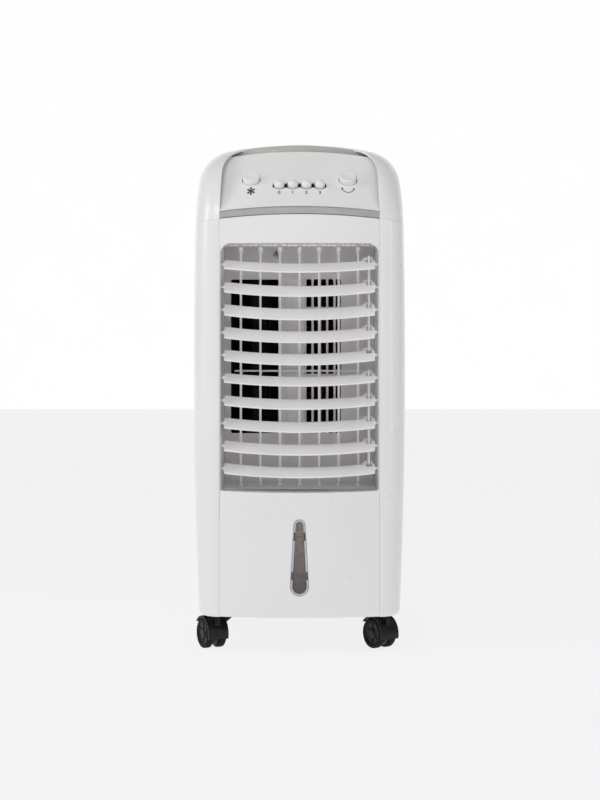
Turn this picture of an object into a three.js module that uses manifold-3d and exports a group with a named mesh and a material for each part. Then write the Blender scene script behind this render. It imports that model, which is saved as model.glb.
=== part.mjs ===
// Household evaporative cooler on four twin-wheel casters.
// Millimetres, +Z up, front towards -Y, origin on the floor under the middle of the body.
import * as THREE from 'three';
import { mergeVertices } from 'three/addons/utils/BufferGeometryUtils.js';
import Module from 'manifold-3d';

const wasm = await Module();
wasm.setup();

// ---------------------------------------------------------------- driving dimensions
const HALF_WIDTH = 135.2;        // body at its widest
const FRONT_Y = -150;            // middle of the bowed front face
const BACK_Y = 146;              // rear wall; the grille and tank door stand on it
const REAR_FACE_Y = 150;
const BODY_BOTTOM = 46;
const SEAM_Z = 543;              // joint between the side shells and the top cover
const TOP_Z = 650;
const WALL = 2.5;                // moulded shell thickness
const GAP = 0.4;                 // clearance between neighbouring pieces

const PANEL_HALF = 101;          // seam between front panel and pillars
const FRONT_BOW = 12;            // how far the middle of the front stands forward
const BARREL_Z = 370;            // height where the body is widest
const BARREL_INSET = 7;          // narrowing of each side at the bottom
const BOTTOM_ROUND = 3.6;
const ROUND_TOP_Z = 57;
const CORNER = { reach: 116, frontY: -130, sideY: -92 };   // curve from the panel's seam to the side
const REAR_CORNER = { start: 112, pull: 132, pullX: 130, flatX: 112 };
const SIDE_SEAM_Y = 62;
const BAY_BACK_Y = -57;

const OPENING = { half: 97.4, bottom: 204.6, top: 514.4, corner: 13 };
const RAIL_BACK_Y = -109;

const LOUVER = { count: 10, pitch: 28.6, middleZ: 359.8, axisY: -128, half: 95, chord: 21,
  thick: 2.2, bow: 9, upperTilt: 41, lowerTilt: 35, pin: 1.7, pinReach: 98.9 };
const LINK = { x: 87.9, thick: 3, width: 4.4, arm: 12.6, pin: 1.1, hole: 1.5, end: 3.4 };
const GROUP_SIZE = 5;            // louvers on one link bar

const VANE = { count: 7, pitch: 25, axisY: -90, depth: 27, thick: 2.4, bottom: 214, top: 508,
  pin: 1.5, pinTop: 516.6, pinBottom: 204, earY: 17, linkZ: 352.4 };
const VANE_LINK = { half: 77.6, width: 4, thick: 2.4, hole: 1.5 };

const DUCT = { half: 99.4, front: -108.5, back: -60, top: 517, wall: 2, floorFront: 204, floorBack: 214 };
const OUTLET = { left: -89, right: -27.6, bottom: 272.5, top: 472 };
const GRILLE_SLOTS = { left: 10.5, width: 5.6, pitch: 9.2, columns: 5,
  rows: [[272.5, 345], [349.5, 433.5], [436.5, 472.5]] };

const FAN = { x: -32, y: 0, radius: 34, bottom: 267, top: 477, blades: 16 };
const SCROLL = { bottom: 262, top: 482, left: -94, right: 60, front: -58.8, back: 46, plate: 2.4 };

const FASCIA = { lowY: -146.2, lowZ: 561.3, highY: -60, highZ: 639, half: 100, thick: 2.5, droop: 5.6 };
const TRIM = { half: 100.4, bottomEnd: 545.9, topEnd: 554.8, arch: 5, depth: 2.4 };
const BUTTON = { x: 61.6, along: 0.485, radius: 11, proud: 6.6, skirt: 5, clearance: 0.8 };
const KEY = { pitch: 17.2, along: 0.37, radius: 6.9, proud: 5.5, skirt: 5, clearance: 0.7 };

const WINDOW = { bottom: 72.4, top: 168.6, lowRadius: 11.9, highRadius: 7.5, rim: 1.2 };
const TANK = { half: 100, front: -116, bottom: 65, top: 168, wall: 2.5, doorHalf: 106, doorBottom: 60,
  doorTop: 192 };
const PAD = { half: 100, front: 72, back: 108, bottom: 214, top: 498 };
const INTAKE = { half: 104, bottom: 216, top: 512, edge: 5, rows: 16, bar: 3, filterFront: 139 };
const TANK_PORT = { half: 102, bottom: 62, top: 172 };
const TANK_GRIP = { half: 40, bottom: 150, top: 164, depth: 8.5 };
const CORD = { x: 88, z: 204, radius: 6.5, hole: 4.5, neck: 4, bore: 2.6 };
const PUMP = { x: 74, y: 88, radius: 17, bottom: 70, top: 106, foot: 5, spout: 120, arm: 3, hangerTop: 205 };
const HOSE_RADIUS = 4;
const HOSE_ROUTE = [[74, 88, 120.5], [74, 88, 150], [76, 84, 178], [96, 84, 194], [114, 86, 212],
  [117, 90, 250], [117, 90, 350], [117, 90, 450], [117, 90, 494], [113, 90, 508], [104, 90, 512]];
const PAN = { half: 118, chamferX: 98, chamferY: -106, front: -129, rear: 130, bottom: 46.6, floor: 50,
  top: 61, ribX: 60, ribTop: 64.4, socket: 8, wall: 3 };
const MOTOR = { radius: 30, flange: 36, top: 521 };
const SWING = { x: 14, radius: 15, bottom: 172, top: 188, crankRadius: 9, crankTop: 192, pinX: 6,
  pinTop: 199.6 };

const CASTER = { frontX: 108, rearX: 100, frontY: -106, rearY: 108, wheel: 19, tread: 9, gap: 4.4,
  trail: 10, hoodTop: 43, stem: 4, stemTop: 60 };
const CASTER_YAW = { front_left: 27, front_right: 35, rear_left: 82, rear_right: -76 };

const rad = THREE.MathUtils.degToRad;

// ---------------------------------------------------------------- materials
function plastic(color, roughness) {
  return new THREE.MeshStandardMaterial({ color, roughness, metalness: 0 });
}
const paint = {
  shell: plastic(0xeceaea, 0.28),
  louver: plastic(0xe9e7e7, 0.35),
  fascia: plastic(0xdcdbdb, 0.5),
  strip: plastic(0xabaca3, 0.4),
  duct: plastic(0xb9b4b4, 0.45),
  inner: plastic(0x8d8888, 0.55),
  fan: plastic(0x111112, 0.5),
  clear: plastic(0x8c8580, 0.15),
  caster: plastic(0x1d1c1c, 0.42),
  pad: plastic(0x9a7a4e, 0.9),
  filter: plastic(0x3b3d40, 0.9),
  hose: plastic(0xd8d8d0, 0.35),
  steel: new THREE.MeshStandardMaterial({ color: 0xb8b8b8, roughness: 0.3, metalness: 1 }),
};

// ---------------------------------------------------------------- solids and booleans
function solid(geometry) {
  const bare = geometry.clone();
  bare.deleteAttribute('normal');
  bare.deleteAttribute('uv');
  const merged = mergeVertices(bare, 1e-4);
  return new wasm.Manifold(new wasm.Mesh({
    numProp: 3,
    vertProperties: new Float32Array(merged.attributes.position.array),
    triVerts: new Uint32Array(merged.index.array),
  }));
}

function geometryOf(manifold) {
  const mesh = manifold.getMesh();
  const geometry = new THREE.BufferGeometry();
  geometry.setAttribute('position', new THREE.BufferAttribute(new Float32Array(mesh.vertProperties), 3));
  geometry.setIndex(new THREE.BufferAttribute(new Uint32Array(mesh.triVerts), 1));
  geometry.computeVertexNormals();
  return geometry;
}

const joined = (pieces) => pieces.map(solid).reduce((sum, piece) => sum.add(piece));
const cutBy = (body, pieces) => pieces.map(solid).reduce((rest, piece) => rest.subtract(piece), body);

function box(x0, x1, y0, y1, z0, z1) {
  const geometry = new THREE.BoxGeometry(x1 - x0, y1 - y0, z1 - z0);
  return geometry.translate((x0 + x1) / 2, (y0 + y1) / 2, (z0 + z1) / 2);
}

function outline(points) {
  return new THREE.Shape(points.map(([a, b]) => new THREE.Vector2(a, b)));
}

function extruded(shape, depth, steps = 1, curveSegments = 6) {
  return new THREE.ExtrudeGeometry(shape, { depth, steps, curveSegments, bevelEnabled: false });
}

// section drawn in X and Y
function alongZ(shape, z0, z1, steps = 1) {
  return extruded(shape, z1 - z0, steps, 4).translate(0, 0, z0);
}
// section drawn in X and Z
function alongY(shape, y0, y1, curveSegments = 6) {
  return extruded(shape, y1 - y0, 1, curveSegments).rotateX(Math.PI / 2).translate(0, y1, 0);
}
// section drawn in Y and Z
function alongX(shape, x0, x1, steps = 1) {
  const turn = new THREE.Matrix4().makeBasis(
    new THREE.Vector3(0, 1, 0), new THREE.Vector3(0, 0, 1), new THREE.Vector3(1, 0, 0));
  return extruded(shape, x1 - x0, steps, 4).applyMatrix4(turn).translate(x0, 0, 0);
}

function rodX(radius, x0, x1, y, z, sides = 8) {
  const rod = new THREE.CylinderGeometry(radius, radius, x1 - x0, sides).rotateZ(Math.PI / 2);
  return rod.translate((x0 + x1) / 2, y, z);
}
function rodY(radius, y0, y1, x, z, sides = 16) {
  return new THREE.CylinderGeometry(radius, radius, y1 - y0, sides).translate(x, (y0 + y1) / 2, z);
}
function rodZ(radius, z0, z1, x, y, sides = 8) {
  const rod = new THREE.CylinderGeometry(radius, radius, z1 - z0, sides).rotateX(Math.PI / 2);
  return rod.translate(x, y, (z0 + z1) / 2);
}

function warped(geometry, move) {
  const place = geometry.attributes.position;
  const point = new THREE.Vector3();
  for (let i = 0; i < place.count; i += 1) {
    point.fromBufferAttribute(place, i);
    move(point);
    place.setXYZ(i, point.x, point.y, point.z);
  }
  return geometry;
}

// ---------------------------------------------------------------- the body's outer form
const frontY = (x) => FRONT_Y + FRONT_BOW * (x / PANEL_HALF) ** 2;

function sideInset(z) {
  return BARREL_INSET * ((z - BARREL_Z) / (BARREL_Z - BODY_BOTTOM)) ** 2;
}

function bottomInset(z) {
  const down = THREE.MathUtils.clamp((ROUND_TOP_Z - z) / (ROUND_TOP_Z - BODY_BOTTOM), 0, 1);
  return BOTTOM_ROUND * (1 - Math.sqrt(1 - down ** 2));
}

// narrows a straight-walled piece to the barrel form and rounds it in at the bottom
function barrelled(point) {
  const outward = THREE.MathUtils.clamp((Math.abs(point.x) - PANEL_HALF) / (HALF_WIDTH - PANEL_HALF), 0, 1);
  point.x -= Math.sign(point.x) * outward * (sideInset(point.z) + bottomInset(point.z));
  point.y -= Math.sign(point.y) * bottomInset(point.z) * (Math.abs(point.y) > 120 ? 1 : 0);
}

// a wall section in plan, raised through the given heights
function raised(shape, heights) {
  const wall = alongZ(shape, 0, heights.length - 1, heights.length - 1);
  return warped(wall, (point) => {
    point.z = heights[Math.round(point.z)];
    barrelled(point);
  });
}

const WALL_HEIGHTS = [BODY_BOTTOM, 48, 53, ROUND_TOP_Z, 150, 260, BARREL_Z, SEAM_Z];

function frontArc(inset, half) {
  const count = 6;
  const points = [];
  for (let i = 0; i <= count; i += 1) {
    const x = -half + (2 * half * i) / count;
    points.push([x, frontY(x) + inset]);
  }
  return points;
}

function frontPanelPlan() {
  const half = PANEL_HALF - GAP;
  return outline([...frontArc(0, half), ...frontArc(WALL, half).reverse()]);
}

const frontCorner = (inset) => new THREE.CubicBezierCurve(
  new THREE.Vector2(PANEL_HALF + GAP, frontY(PANEL_HALF) + inset),
  new THREE.Vector2(CORNER.reach, frontY(PANEL_HALF) + inset),
  new THREE.Vector2(HALF_WIDTH - inset, CORNER.frontY + inset),
  new THREE.Vector2(HALF_WIDTH - inset, CORNER.sideY));
const rearCorner = (inset) => new THREE.CubicBezierCurve(
  new THREE.Vector2(HALF_WIDTH - inset, REAR_CORNER.start),
  new THREE.Vector2(HALF_WIDTH - inset, REAR_CORNER.pull - inset),
  new THREE.Vector2(REAR_CORNER.pullX, BACK_Y - inset),
  new THREE.Vector2(REAR_CORNER.flatX, BACK_Y - inset));

const pairs = (curve, count = 5) => curve.getPoints(count).map((point) => [point.x, point.y]);

function pillarPlan(side) {
  const inner = PANEL_HALF + GAP;
  const points = [
    ...pairs(frontCorner(0)), [HALF_WIDTH, SIDE_SEAM_Y], [HALF_WIDTH - WALL, SIDE_SEAM_Y],
    ...pairs(frontCorner(WALL)).reverse().slice(0, -1), [inner + 2, frontY(PANEL_HALF) + WALL],
    [inner + 2, RAIL_BACK_Y], [inner, RAIL_BACK_Y],
  ];
  return outline(points.map(([x, y]) => [side * x, y]));
}

function rearPlan() {
  const half = (inset) => [[HALF_WIDTH - inset, SIDE_SEAM_Y + GAP], ...pairs(rearCorner(inset))];
  const mirrored = (points) => points.map(([x, y]) => [-x, y]).reverse();
  const outer = [...half(0), ...mirrored(half(0))];
  const inner = [...half(WALL), ...mirrored(half(WALL))];
  return outline([...outer, ...inner.reverse()]);
}

// ---------------------------------------------------------------- casing
function archedTop(shape, half, endZ, rise) {
  shape.lineTo(half, endZ);
  shape.quadraticCurveTo(0, endZ + 2 * rise, -half, endZ);
}

function openingPath() {
  const { half, bottom, top, corner } = OPENING;
  const path = new THREE.Path();
  path.moveTo(-half, bottom);
  path.lineTo(half, bottom);
  path.lineTo(half, top - corner);
  path.absarc(half - corner, top - corner, corner, 0, Math.PI / 2);
  path.lineTo(-half + corner, top);
  path.absarc(-half + corner, top - corner, corner, Math.PI / 2, Math.PI);
  return path;
}

// keyhole outline: a small round at the top widening to a larger one at the bottom
function windowPath(grow, Kind = THREE.Path) {
  const low = WINDOW.lowRadius + grow;
  const high = WINDOW.highRadius + grow;
  const path = new Kind();
  path.absarc(0, WINDOW.bottom + WINDOW.lowRadius, low, Math.PI, 2 * Math.PI);
  path.absarc(0, WINDOW.top - WINDOW.highRadius, high, 0, Math.PI);
  return path;
}

function frontPanel() {
  const face = new THREE.Shape();
  const half = PANEL_HALF;
  face.moveTo(-half, BODY_BOTTOM - 1);
  face.lineTo(half, BODY_BOTTOM - 1);
  archedTop(face, half, TRIM.bottomEnd - GAP, TRIM.arch);
  face.holes = [openingPath(), windowPath(0)];
  const sheet = raised(frontPanelPlan(), [BODY_BOTTOM, 48, 53, ROUND_TOP_Z, SEAM_Z + 10]);
  const skin = solid(sheet).intersect(solid(alongY(face, FRONT_Y - 5, -120, 5)));
  const { half: inside, bottom, top } = OPENING;
  const shelfFront = frontY(PANEL_HALF) + 1;
  const frame = joined([
    box(inside, half - GAP, shelfFront, RAIL_BACK_Y, bottom - 2, top + 2),
    box(-half + GAP, -inside, shelfFront, RAIL_BACK_Y, bottom - 2, top + 2),
    box(-half + GAP, half - GAP, shelfFront - 1, RAIL_BACK_Y, bottom - 2.4, bottom - 0.2),
    box(-half + GAP, half - GAP, shelfFront - 1, RAIL_BACK_Y, top + 0.2, top + 2.4),
  ]);
  const shelves = [bottom - 1.3, top + 1.3].map((z) =>
    alongZ(outline([...frontArc(0.6, 90), [90, -134], [-90, -134]]), z - 1.1, z + 1.1));
  const body = shelves.map(solid).reduce((sum, shelf) => sum.add(shelf), skin.add(frame));
  const bores = louverHeights().map((z) => rodX(LOUVER.pin + 0.6, -half, half, LOUVER.axisY, z, 8));
  return geometryOf(cutBy(body, bores));
}

function pillar(side) {
  return raised(pillarPlan(side), WALL_HEIGHTS);
}

function rearHousing() {
  const [near, far] = [BACK_Y - 16, BACK_Y + 14];
  const ports = [
    box(-INTAKE.half, INTAKE.half, near, far, INTAKE.bottom, INTAKE.top),
    box(-TANK_PORT.half, TANK_PORT.half, near, far, TANK_PORT.bottom, TANK_PORT.top),
    rodY(CORD.hole, near, far, CORD.x, CORD.z),
  ];
  return geometryOf(cutBy(solid(raised(rearPlan(), WALL_HEIGHTS)), ports));
}

function basePan() {
  const { half, chamferX, chamferY, front, rear, bottom, floor, top, ribX, ribTop, socket, wall } = PAN;
  const plan = (inset) => outline([[-half + inset, chamferY], [-chamferX + inset, front + inset],
    [chamferX - inset, front + inset], [half - inset, chamferY], [half - inset, rear - inset],
    [-half + inset, rear - inset]]);
  const shell = solid(alongZ(plan(0), bottom, top));
  const hollow = alongZ(plan(wall), floor, top + 1);
  const ribs = [-ribX, 0, ribX].map((x) =>
    box(x - wall / 2, x + wall / 2, front + 2, rear - 2, floor - 1, ribTop));
  const sockets = casterPlaces().map(({ x, y }) => rodZ(socket, floor - 2, top + 0.5, x, y, 16));
  const bores = casterPlaces().map(({ x, y }) => rodZ(CASTER.stem + 0.5, bottom - 1, top + 2, x, y, 12));
  const flangeX = PANEL_HALF + 1.4;
  const slots = [-flangeX, flangeX].map((x) =>
    box(x - 2, x + 2, front - 2, RAIL_BACK_Y + 1, bottom - 1, top + 1));
  const tub = cutBy(shell, [hollow]);
  const tray = [...ribs, ...sockets].map(solid).reduce((sum, piece) => sum.add(piece), tub);
  return geometryOf(cutBy(tray, [...bores, ...slots]));
}

// front view of the cover: upright cheeks, round shoulders and a shallow arched top
function coverFront(inset) {
  const shape = new THREE.Shape();
  const wide = HALF_WIDTH - 2.3 - inset;
  const base = SEAM_Z + GAP - (inset > 0 ? 5 : 0);
  const half = [
    [wide, base], [wide - 0.6, 562], [129.7 - inset, 593],
  ];
  const shoulder = new THREE.CubicBezierCurve(
    new THREE.Vector2(129.7 - inset, 593), new THREE.Vector2(128.3 - inset, 614 - inset),
    new THREE.Vector2(117, 634.4 - inset), new THREE.Vector2(92, 639.8 - inset));
  const crown = new THREE.CubicBezierCurve(
    new THREE.Vector2(92, 639.8 - inset), new THREE.Vector2(78, 643.2 - inset),
    new THREE.Vector2(40, TOP_Z - inset), new THREE.Vector2(0, TOP_Z - inset));
  const right = [...half, ...pairs(shoulder).slice(1), ...pairs(crown, 5).slice(1)];
  const left = right.slice(0, -1).reverse().map(([x, z]) => [-x, z]);
  shape.setFromPoints([...right, ...left].map(([x, z]) => new THREE.Vector2(x, z)));
  return shape;
}

// side view of the cover: the front rolls back into the top
function coverSide(inset) {
  const base = SEAM_Z + GAP - (inset > 0 ? 5 : 0);
  const roll = new THREE.CubicBezierCurve(
    new THREE.Vector2(-152 + inset, base), new THREE.Vector2(-150 + inset, 570 - inset),
    new THREE.Vector2(-110, 637 - inset), new THREE.Vector2(-46, TOP_Z + 1 - inset));
  const rear = new THREE.CubicBezierCurve(
    new THREE.Vector2(92, TOP_Z + 1 - inset), new THREE.Vector2(128, TOP_Z - inset),
    new THREE.Vector2(BACK_Y - inset, 632 - inset), new THREE.Vector2(BACK_Y - inset, 596));
  return outline([...pairs(roll, 10), ...pairs(rear), [BACK_Y - inset, base]]);
}

function bodyPlan(inset) {
  const corner = [...pairs(frontCorner(inset)), ...pairs(rearCorner(inset))];
  const mirrored = corner.map(([x, y]) => [-x, y]).reverse();
  return outline([...frontArc(inset, PANEL_HALF), ...corner, ...mirrored]);
}

function coverBlock(inset) {
  return solid(alongY(coverFront(inset), -160, 160))
    .intersect(solid(alongX(coverSide(inset), -150, 150)))
    .intersect(solid(alongZ(bodyPlan(inset), 530, 660)));
}

// the sunk bay that the control fascia lies in
function bayFront() {
  const shape = new THREE.Shape();
  const half = PANEL_HALF + 0.1;
  shape.moveTo(-half, 530);
  shape.lineTo(half, 530);
  shape.lineTo(half - 1.5, 606);
  shape.bezierCurveTo(half - 2, 628, 84, 636, 70, 640.5);
  shape.quadraticCurveTo(0, 653.5, -70, 640.5);
  shape.bezierCurveTo(-84, 636, -half + 2, 628, -half + 1.5, 606);
  return shape;
}

function topCover() {
  const shell = coverBlock(0).subtract(coverBlock(WALL));
  const cut = shell.subtract(solid(alongY(bayFront(), -170, BAY_BACK_Y)));
  const wallBlock = solid(box(-112, 112, BAY_BACK_Y - 0.6, BAY_BACK_Y + 2, 622, 652));
  const backWall = wallBlock.intersect(coverBlock(0.5));
  return geometryOf(cut.add(backWall));
}

function trimStrip() {
  const shape = new THREE.Shape();
  shape.moveTo(-TRIM.half, TRIM.bottomEnd);
  shape.quadraticCurveTo(0, TRIM.bottomEnd + 2 * TRIM.arch, TRIM.half, TRIM.bottomEnd);
  shape.lineTo(TRIM.half, TRIM.topEnd);
  shape.quadraticCurveTo(0, TRIM.topEnd + 2 * (TRIM.arch + 1), -TRIM.half, TRIM.topEnd);
  const proud = 0.6;
  const band = outline([...frontArc(proud, TRIM.half), ...frontArc(proud + TRIM.depth, TRIM.half).reverse()]);
  return geometryOf(solid(alongZ(band, 540, 570)).intersect(solid(alongY(shape, FRONT_Y - 5, -120, 6))));
}

// ---------------------------------------------------------------- control fascia and buttons
const FASCIA_RISE = Math.atan2(FASCIA.highZ - FASCIA.lowZ, FASCIA.highY - FASCIA.lowY);

// the lower edge follows the bow of the front and the arch of the trim; the upper edge runs straight
function fasciaPoint(x, along) {
  const away = (x / PANEL_HALF) ** 2 * (1 - THREE.MathUtils.clamp(along, 0, 1));
  return new THREE.Vector3(x,
    THREE.MathUtils.lerp(FASCIA.lowY, FASCIA.highY, along) + FRONT_BOW * away,
    THREE.MathUtils.lerp(FASCIA.lowZ, FASCIA.highZ, along) - FASCIA.droop * away);
}

function onFascia(geometry, x, along) {
  const place = fasciaPoint(x, along);
  return geometry.rotateX(FASCIA_RISE).translate(place.x, place.y, place.z);
}

// the fascia's outline in its own sloping plane: square below, rounded above
function fasciaEdge(half) {
  const run = Math.hypot(FASCIA.highZ - FASCIA.lowZ, FASCIA.highY - FASCIA.lowY);
  const shape = new THREE.Shape();
  shape.moveTo(-half, -20);
  shape.lineTo(half, -20);
  shape.lineTo(half - 1.5, run - 42);
  shape.quadraticCurveTo(half - 3, run - 8, half - 30, run - 3);
  shape.lineTo(-half + 30, run - 3);
  shape.quadraticCurveTo(-half + 3, run - 8, -half + 1.5, run - 42);
  return shape;
}

function controlFascia() {
  const { lowY, lowZ, highY, highZ, half } = FASCIA;
  const drop = FASCIA.thick / Math.cos(FASCIA_RISE);
  const section = outline([[lowY, lowZ], [highY, highZ], [highY, highZ - drop], [lowY, lowZ - drop]]);
  const sheet = warped(alongX(section, -half, half, 8), (point) => {
    const along = (point.y - lowY) / (highY - lowY);
    const surface = fasciaPoint(point.x, along);
    const depth = point.z - THREE.MathUtils.lerp(lowZ, highZ, along);
    point.set(surface.x, surface.y, surface.z + depth);
  });
  const trimmer = alongZ(fasciaEdge(half), -40, 30).rotateX(FASCIA_RISE).translate(0, lowY, lowZ);
  const bores = [
    ...[-1, 1].map((side) => [side * BUTTON.x, BUTTON.along, BUTTON.radius + BUTTON.clearance]),
    ...keyPlaces().map((x) => [x, KEY.along, KEY.radius + KEY.clearance]),
  ].map(([x, along, radius]) => onFascia(rodZ(radius, -14, 14, 0, 0, 16), x, along));
  return geometryOf(cutBy(solid(sheet).intersect(solid(trimmer)), bores));
}

function keyPlaces() {
  return [-1.5, -0.5, 0.5, 1.5].map((step) => step * KEY.pitch);
}

// a round cap with a softened edge, a skirt below the fascia and a stem
function pushCap(size, crown) {
  const { radius, proud, skirt } = size;
  const stem = 2.5;
  const stemEnd = -skirt - 9;
  const profile = [[0, stemEnd], [stem, stemEnd], [stem, -skirt], [radius, -skirt],
    [radius, proud - crown], [radius - crown, proud], [0, proud]];
  const lathe = new THREE.LatheGeometry(profile.map(([r, z]) => new THREE.Vector2(r, z)), 12);
  return lathe.rotateX(Math.PI / 2);
}

function switchBank() {
  const half = 2 * KEY.pitch + 2;
  return onFascia(box(-half, half, -14, 14, -38, -19), 0, KEY.along);
}

// ---------------------------------------------------------------- louvers and vanes
function louverHeights() {
  const heights = [];
  for (let i = 0; i < LOUVER.count; i += 1) {
    heights.push(LOUVER.middleZ + ((LOUVER.count - 1) / 2 - i) * LOUVER.pitch);
  }
  return heights;
}

const louverTilt = (index) => rad(index < GROUP_SIZE ? LOUVER.upperTilt : LOUVER.lowerTilt);

// bowed blade in its own plane, pivot axis along X through the origin
function louverBlade() {
  const halfChord = LOUVER.chord / 2;
  const flat = halfChord - 2.5;
  const t = LOUVER.thick / 2;
  const section = outline([[-halfChord, 0], [-flat, -t], [flat, -t], [halfChord, 0], [flat, t], [-flat, t]]);
  const blade = warped(alongX(section, -LOUVER.half, LOUVER.half, 6), (point) => {
    point.y -= LOUVER.bow * (1 - (point.x / LOUVER.half) ** 2);
  });
  const notchHalf = LINK.thick / 2 + 0.8;
  const notched = cutBy(solid(blade), [box(LINK.x - notchHalf, LINK.x + notchHalf, 3, 20, -4, 4)]);
  const ears = [-1, 1].map((side) => {
    const x = LINK.x + side * (notchHalf + 1);
    return box(x - 1, x + 1, 2, LINK.arm + 2, -1.7, 1.7);
  });
  const pins = [
    rodX(LOUVER.pin, LOUVER.half - 3, LOUVER.pinReach, 0, 0),
    rodX(LOUVER.pin, -LOUVER.pinReach, -LOUVER.half + 3, 0, 0),
    rodX(LINK.pin, LINK.x - notchHalf - 1.5, LINK.x + notchHalf + 1.5, LINK.arm, 0, 6),
  ];
  return geometryOf([...ears, ...pins].map(solid).reduce((sum, piece) => sum.add(piece), notched));
}

// flat bar with one hole for each louver's pin, hung at the group's tilt
function louverLink(first) {
  const tilt = louverTilt(first);
  const pinY = LOUVER.axisY + LINK.arm * Math.cos(tilt);
  const pins = louverHeights().slice(first, first + GROUP_SIZE).map((z) => z + LINK.arm * Math.sin(tilt));
  const high = pins[0] + LINK.end;
  const low = pins[GROUP_SIZE - 1] - LINK.end;
  const half = LINK.width / 2;
  const shape = outline([[pinY - half, low], [pinY + half, low], [pinY + half, high], [pinY - half, high]]);
  shape.holes = pins.map((z) => {
    const hole = new THREE.Path();
    hole.absarc(pinY, z, LINK.hole, 0, 2 * Math.PI);
    return hole;
  });
  return alongX(shape, LINK.x - LINK.thick / 2, LINK.x + LINK.thick / 2);
}

// upright blade turning about Z through the origin, with a pin behind it for the link rod
function vaneBlade() {
  const half = VANE.depth / 2;
  const t = VANE.thick / 2;
  const flat = half - 3;
  const section = outline([[0, -half], [t, -flat], [t, flat], [0, half], [-t, flat], [-t, -flat]]);
  return geometryOf(joined([
    alongZ(section, VANE.bottom, VANE.top),
    rodZ(VANE.pin, VANE.pinBottom, VANE.bottom + 4, 0, 0),
    rodZ(VANE.pin, VANE.top - 4, VANE.pinTop, 0, 0),
    box(-1.8, 1.8, half - 3, VANE.earY + 2, VANE.linkZ - 2.4, VANE.linkZ - 0.4),
    rodZ(1, VANE.linkZ - 1, VANE.linkZ + 3.4, 0, VANE.earY, 8),
  ]));
}

function vanePlaces() {
  const middle = (VANE.count - 1) / 2;
  return Array.from({ length: VANE.count }, (_, i) => (i - middle) * VANE.pitch);
}

function vaneLink() {
  const y = VANE.axisY + VANE.earY;
  const half = VANE_LINK.half;
  const side = VANE_LINK.width / 2;
  const shape = outline([[-half, y - side], [half, y - side], [half, y + side], [-half, y + side]]);
  shape.holes = vanePlaces().map((x) => {
    const hole = new THREE.Path();
    hole.absarc(x, y, VANE_LINK.hole, 0, 2 * Math.PI);
    return hole;
  });
  return alongZ(shape, VANE.linkZ, VANE.linkZ + VANE_LINK.thick);
}

// ---------------------------------------------------------------- air path
function airDuct() {
  const { half, front, back, top, wall, floorFront, floorBack } = DUCT;
  const floor = outline([[front, floorFront - wall], [back, floorBack - wall], [back, floorBack],
    [front, floorFront]]);
  const { left, width, pitch, columns, rows } = GRILLE_SLOTS;
  const ports = [box(OUTLET.left, OUTLET.right, -70, -50, OUTLET.bottom, OUTLET.top)];
  for (let column = 0; column < columns; column += 1) {
    const x = left + column * pitch;
    ports.push(...rows.map(([low, high]) => box(x, x + width, -70, -50, low, high)));
  }
  const body = joined([
    alongX(floor, -half, half),
    box(-half, half, front, back, top - wall, top),
    box(-half, -half + wall, front, back, floorFront - wall, top),
    box(half - wall, half, front, back, floorFront - wall, top),
    box(-half, half, back - wall, back, floorBack - wall, top),
  ]);
  const bores = vanePlaces().flatMap((x) => [
    rodZ(VANE.pin + 0.7, 200, VANE.bottom, x, VANE.axisY, 8),
    rodZ(VANE.pin + 0.7, VANE.top, 520, x, VANE.axisY, 8),
  ]);
  return geometryOf(cutBy(body, [...ports, ...bores]));
}

// end plates joined by a curved back wall on one side and a short tongue on the other
function fanScroll() {
  const { bottom, top, left, right, front, back, plate } = SCROLL;
  const wallLine = new THREE.CubicBezierCurve(
    new THREE.Vector2(left + 1, front), new THREE.Vector2(left, -10),
    new THREE.Vector2(-80, 44), new THREE.Vector2(-34, back - 2));
  const outer = pairs(wallLine, 8);
  const inner = outer.map(([x, y]) => [x + 2, y - 0.8]).reverse();
  const plateShape = outline([[left, front], [right, front], [right, 20], [30, back], [-60, back],
    [left, 0]]);
  const tongue = outline([[-26, front], [-23, front], [-14, -38], [-17, -38]]);
  const body = joined([
    alongZ(plateShape, bottom, bottom + plate), alongZ(plateShape, top - plate, top),
    alongZ(outline([...outer, ...inner]), bottom + 1, top - 1), alongZ(tongue, bottom + 1, top - 1),
    box(right - plate, right, front, 20, bottom + 1, top - 1),
  ]);
  return geometryOf(cutBy(body, [
    rodZ(6, top - 5, top + 1, FAN.x, FAN.y),
    rodZ(4, bottom - 1, bottom + 4, FAN.x, FAN.y),
  ]));
}

// drum of upright blades between end rings, on one shaft
function fanImpeller() {
  const { radius, bottom, top, blades } = FAN;
  const pieces = [rodZ(3, bottom - 4, top + 12, 0, 0, 10)];
  const middle = (bottom + top) / 2;
  for (const z of [bottom, middle, top - 2]) {
    pieces.push(rodZ(radius, z, z + 2, 0, 0, 24));
  }
  for (let i = 0; i < blades; i += 1) {
    const blade = box(-0.7, 0.7, -5.5, 5.5, bottom + 1, top - 1).rotateZ(rad(35));
    pieces.push(blade.translate(0, radius - 6.4, 0).rotateZ((2 * Math.PI * i) / blades));
  }
  return geometryOf(joined(pieces));
}

function fanMotor() {
  const floor = SCROLL.top + GAP;
  const body = joined([
    rodZ(MOTOR.radius, floor + 2, MOTOR.top, FAN.x, FAN.y, 32),
    rodZ(MOTOR.flange, floor, floor + 4, FAN.x, FAN.y, 32),
  ]);
  return geometryOf(cutBy(body, [rodZ(3.6, floor - 1, floor + 9.6, FAN.x, FAN.y)]));
}

function swingMotor() {
  const { x, radius, bottom, top } = SWING;
  const ears = box(x - 20, x + 20, VANE.axisY - 4, VANE.axisY + 4, top - 3, top);
  return geometryOf(joined([rodZ(radius, bottom, top, x, VANE.axisY, 24), ears]));
}

function swingCrank() {
  const { top, crankRadius, crankTop, pinX, pinTop } = SWING;
  return geometryOf(joined([
    rodZ(crankRadius, top + 0.6, crankTop, 0, 0, 20),
    rodZ(1.6, crankTop - 1, pinTop, pinX, 0, 10),
  ]));
}

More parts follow.
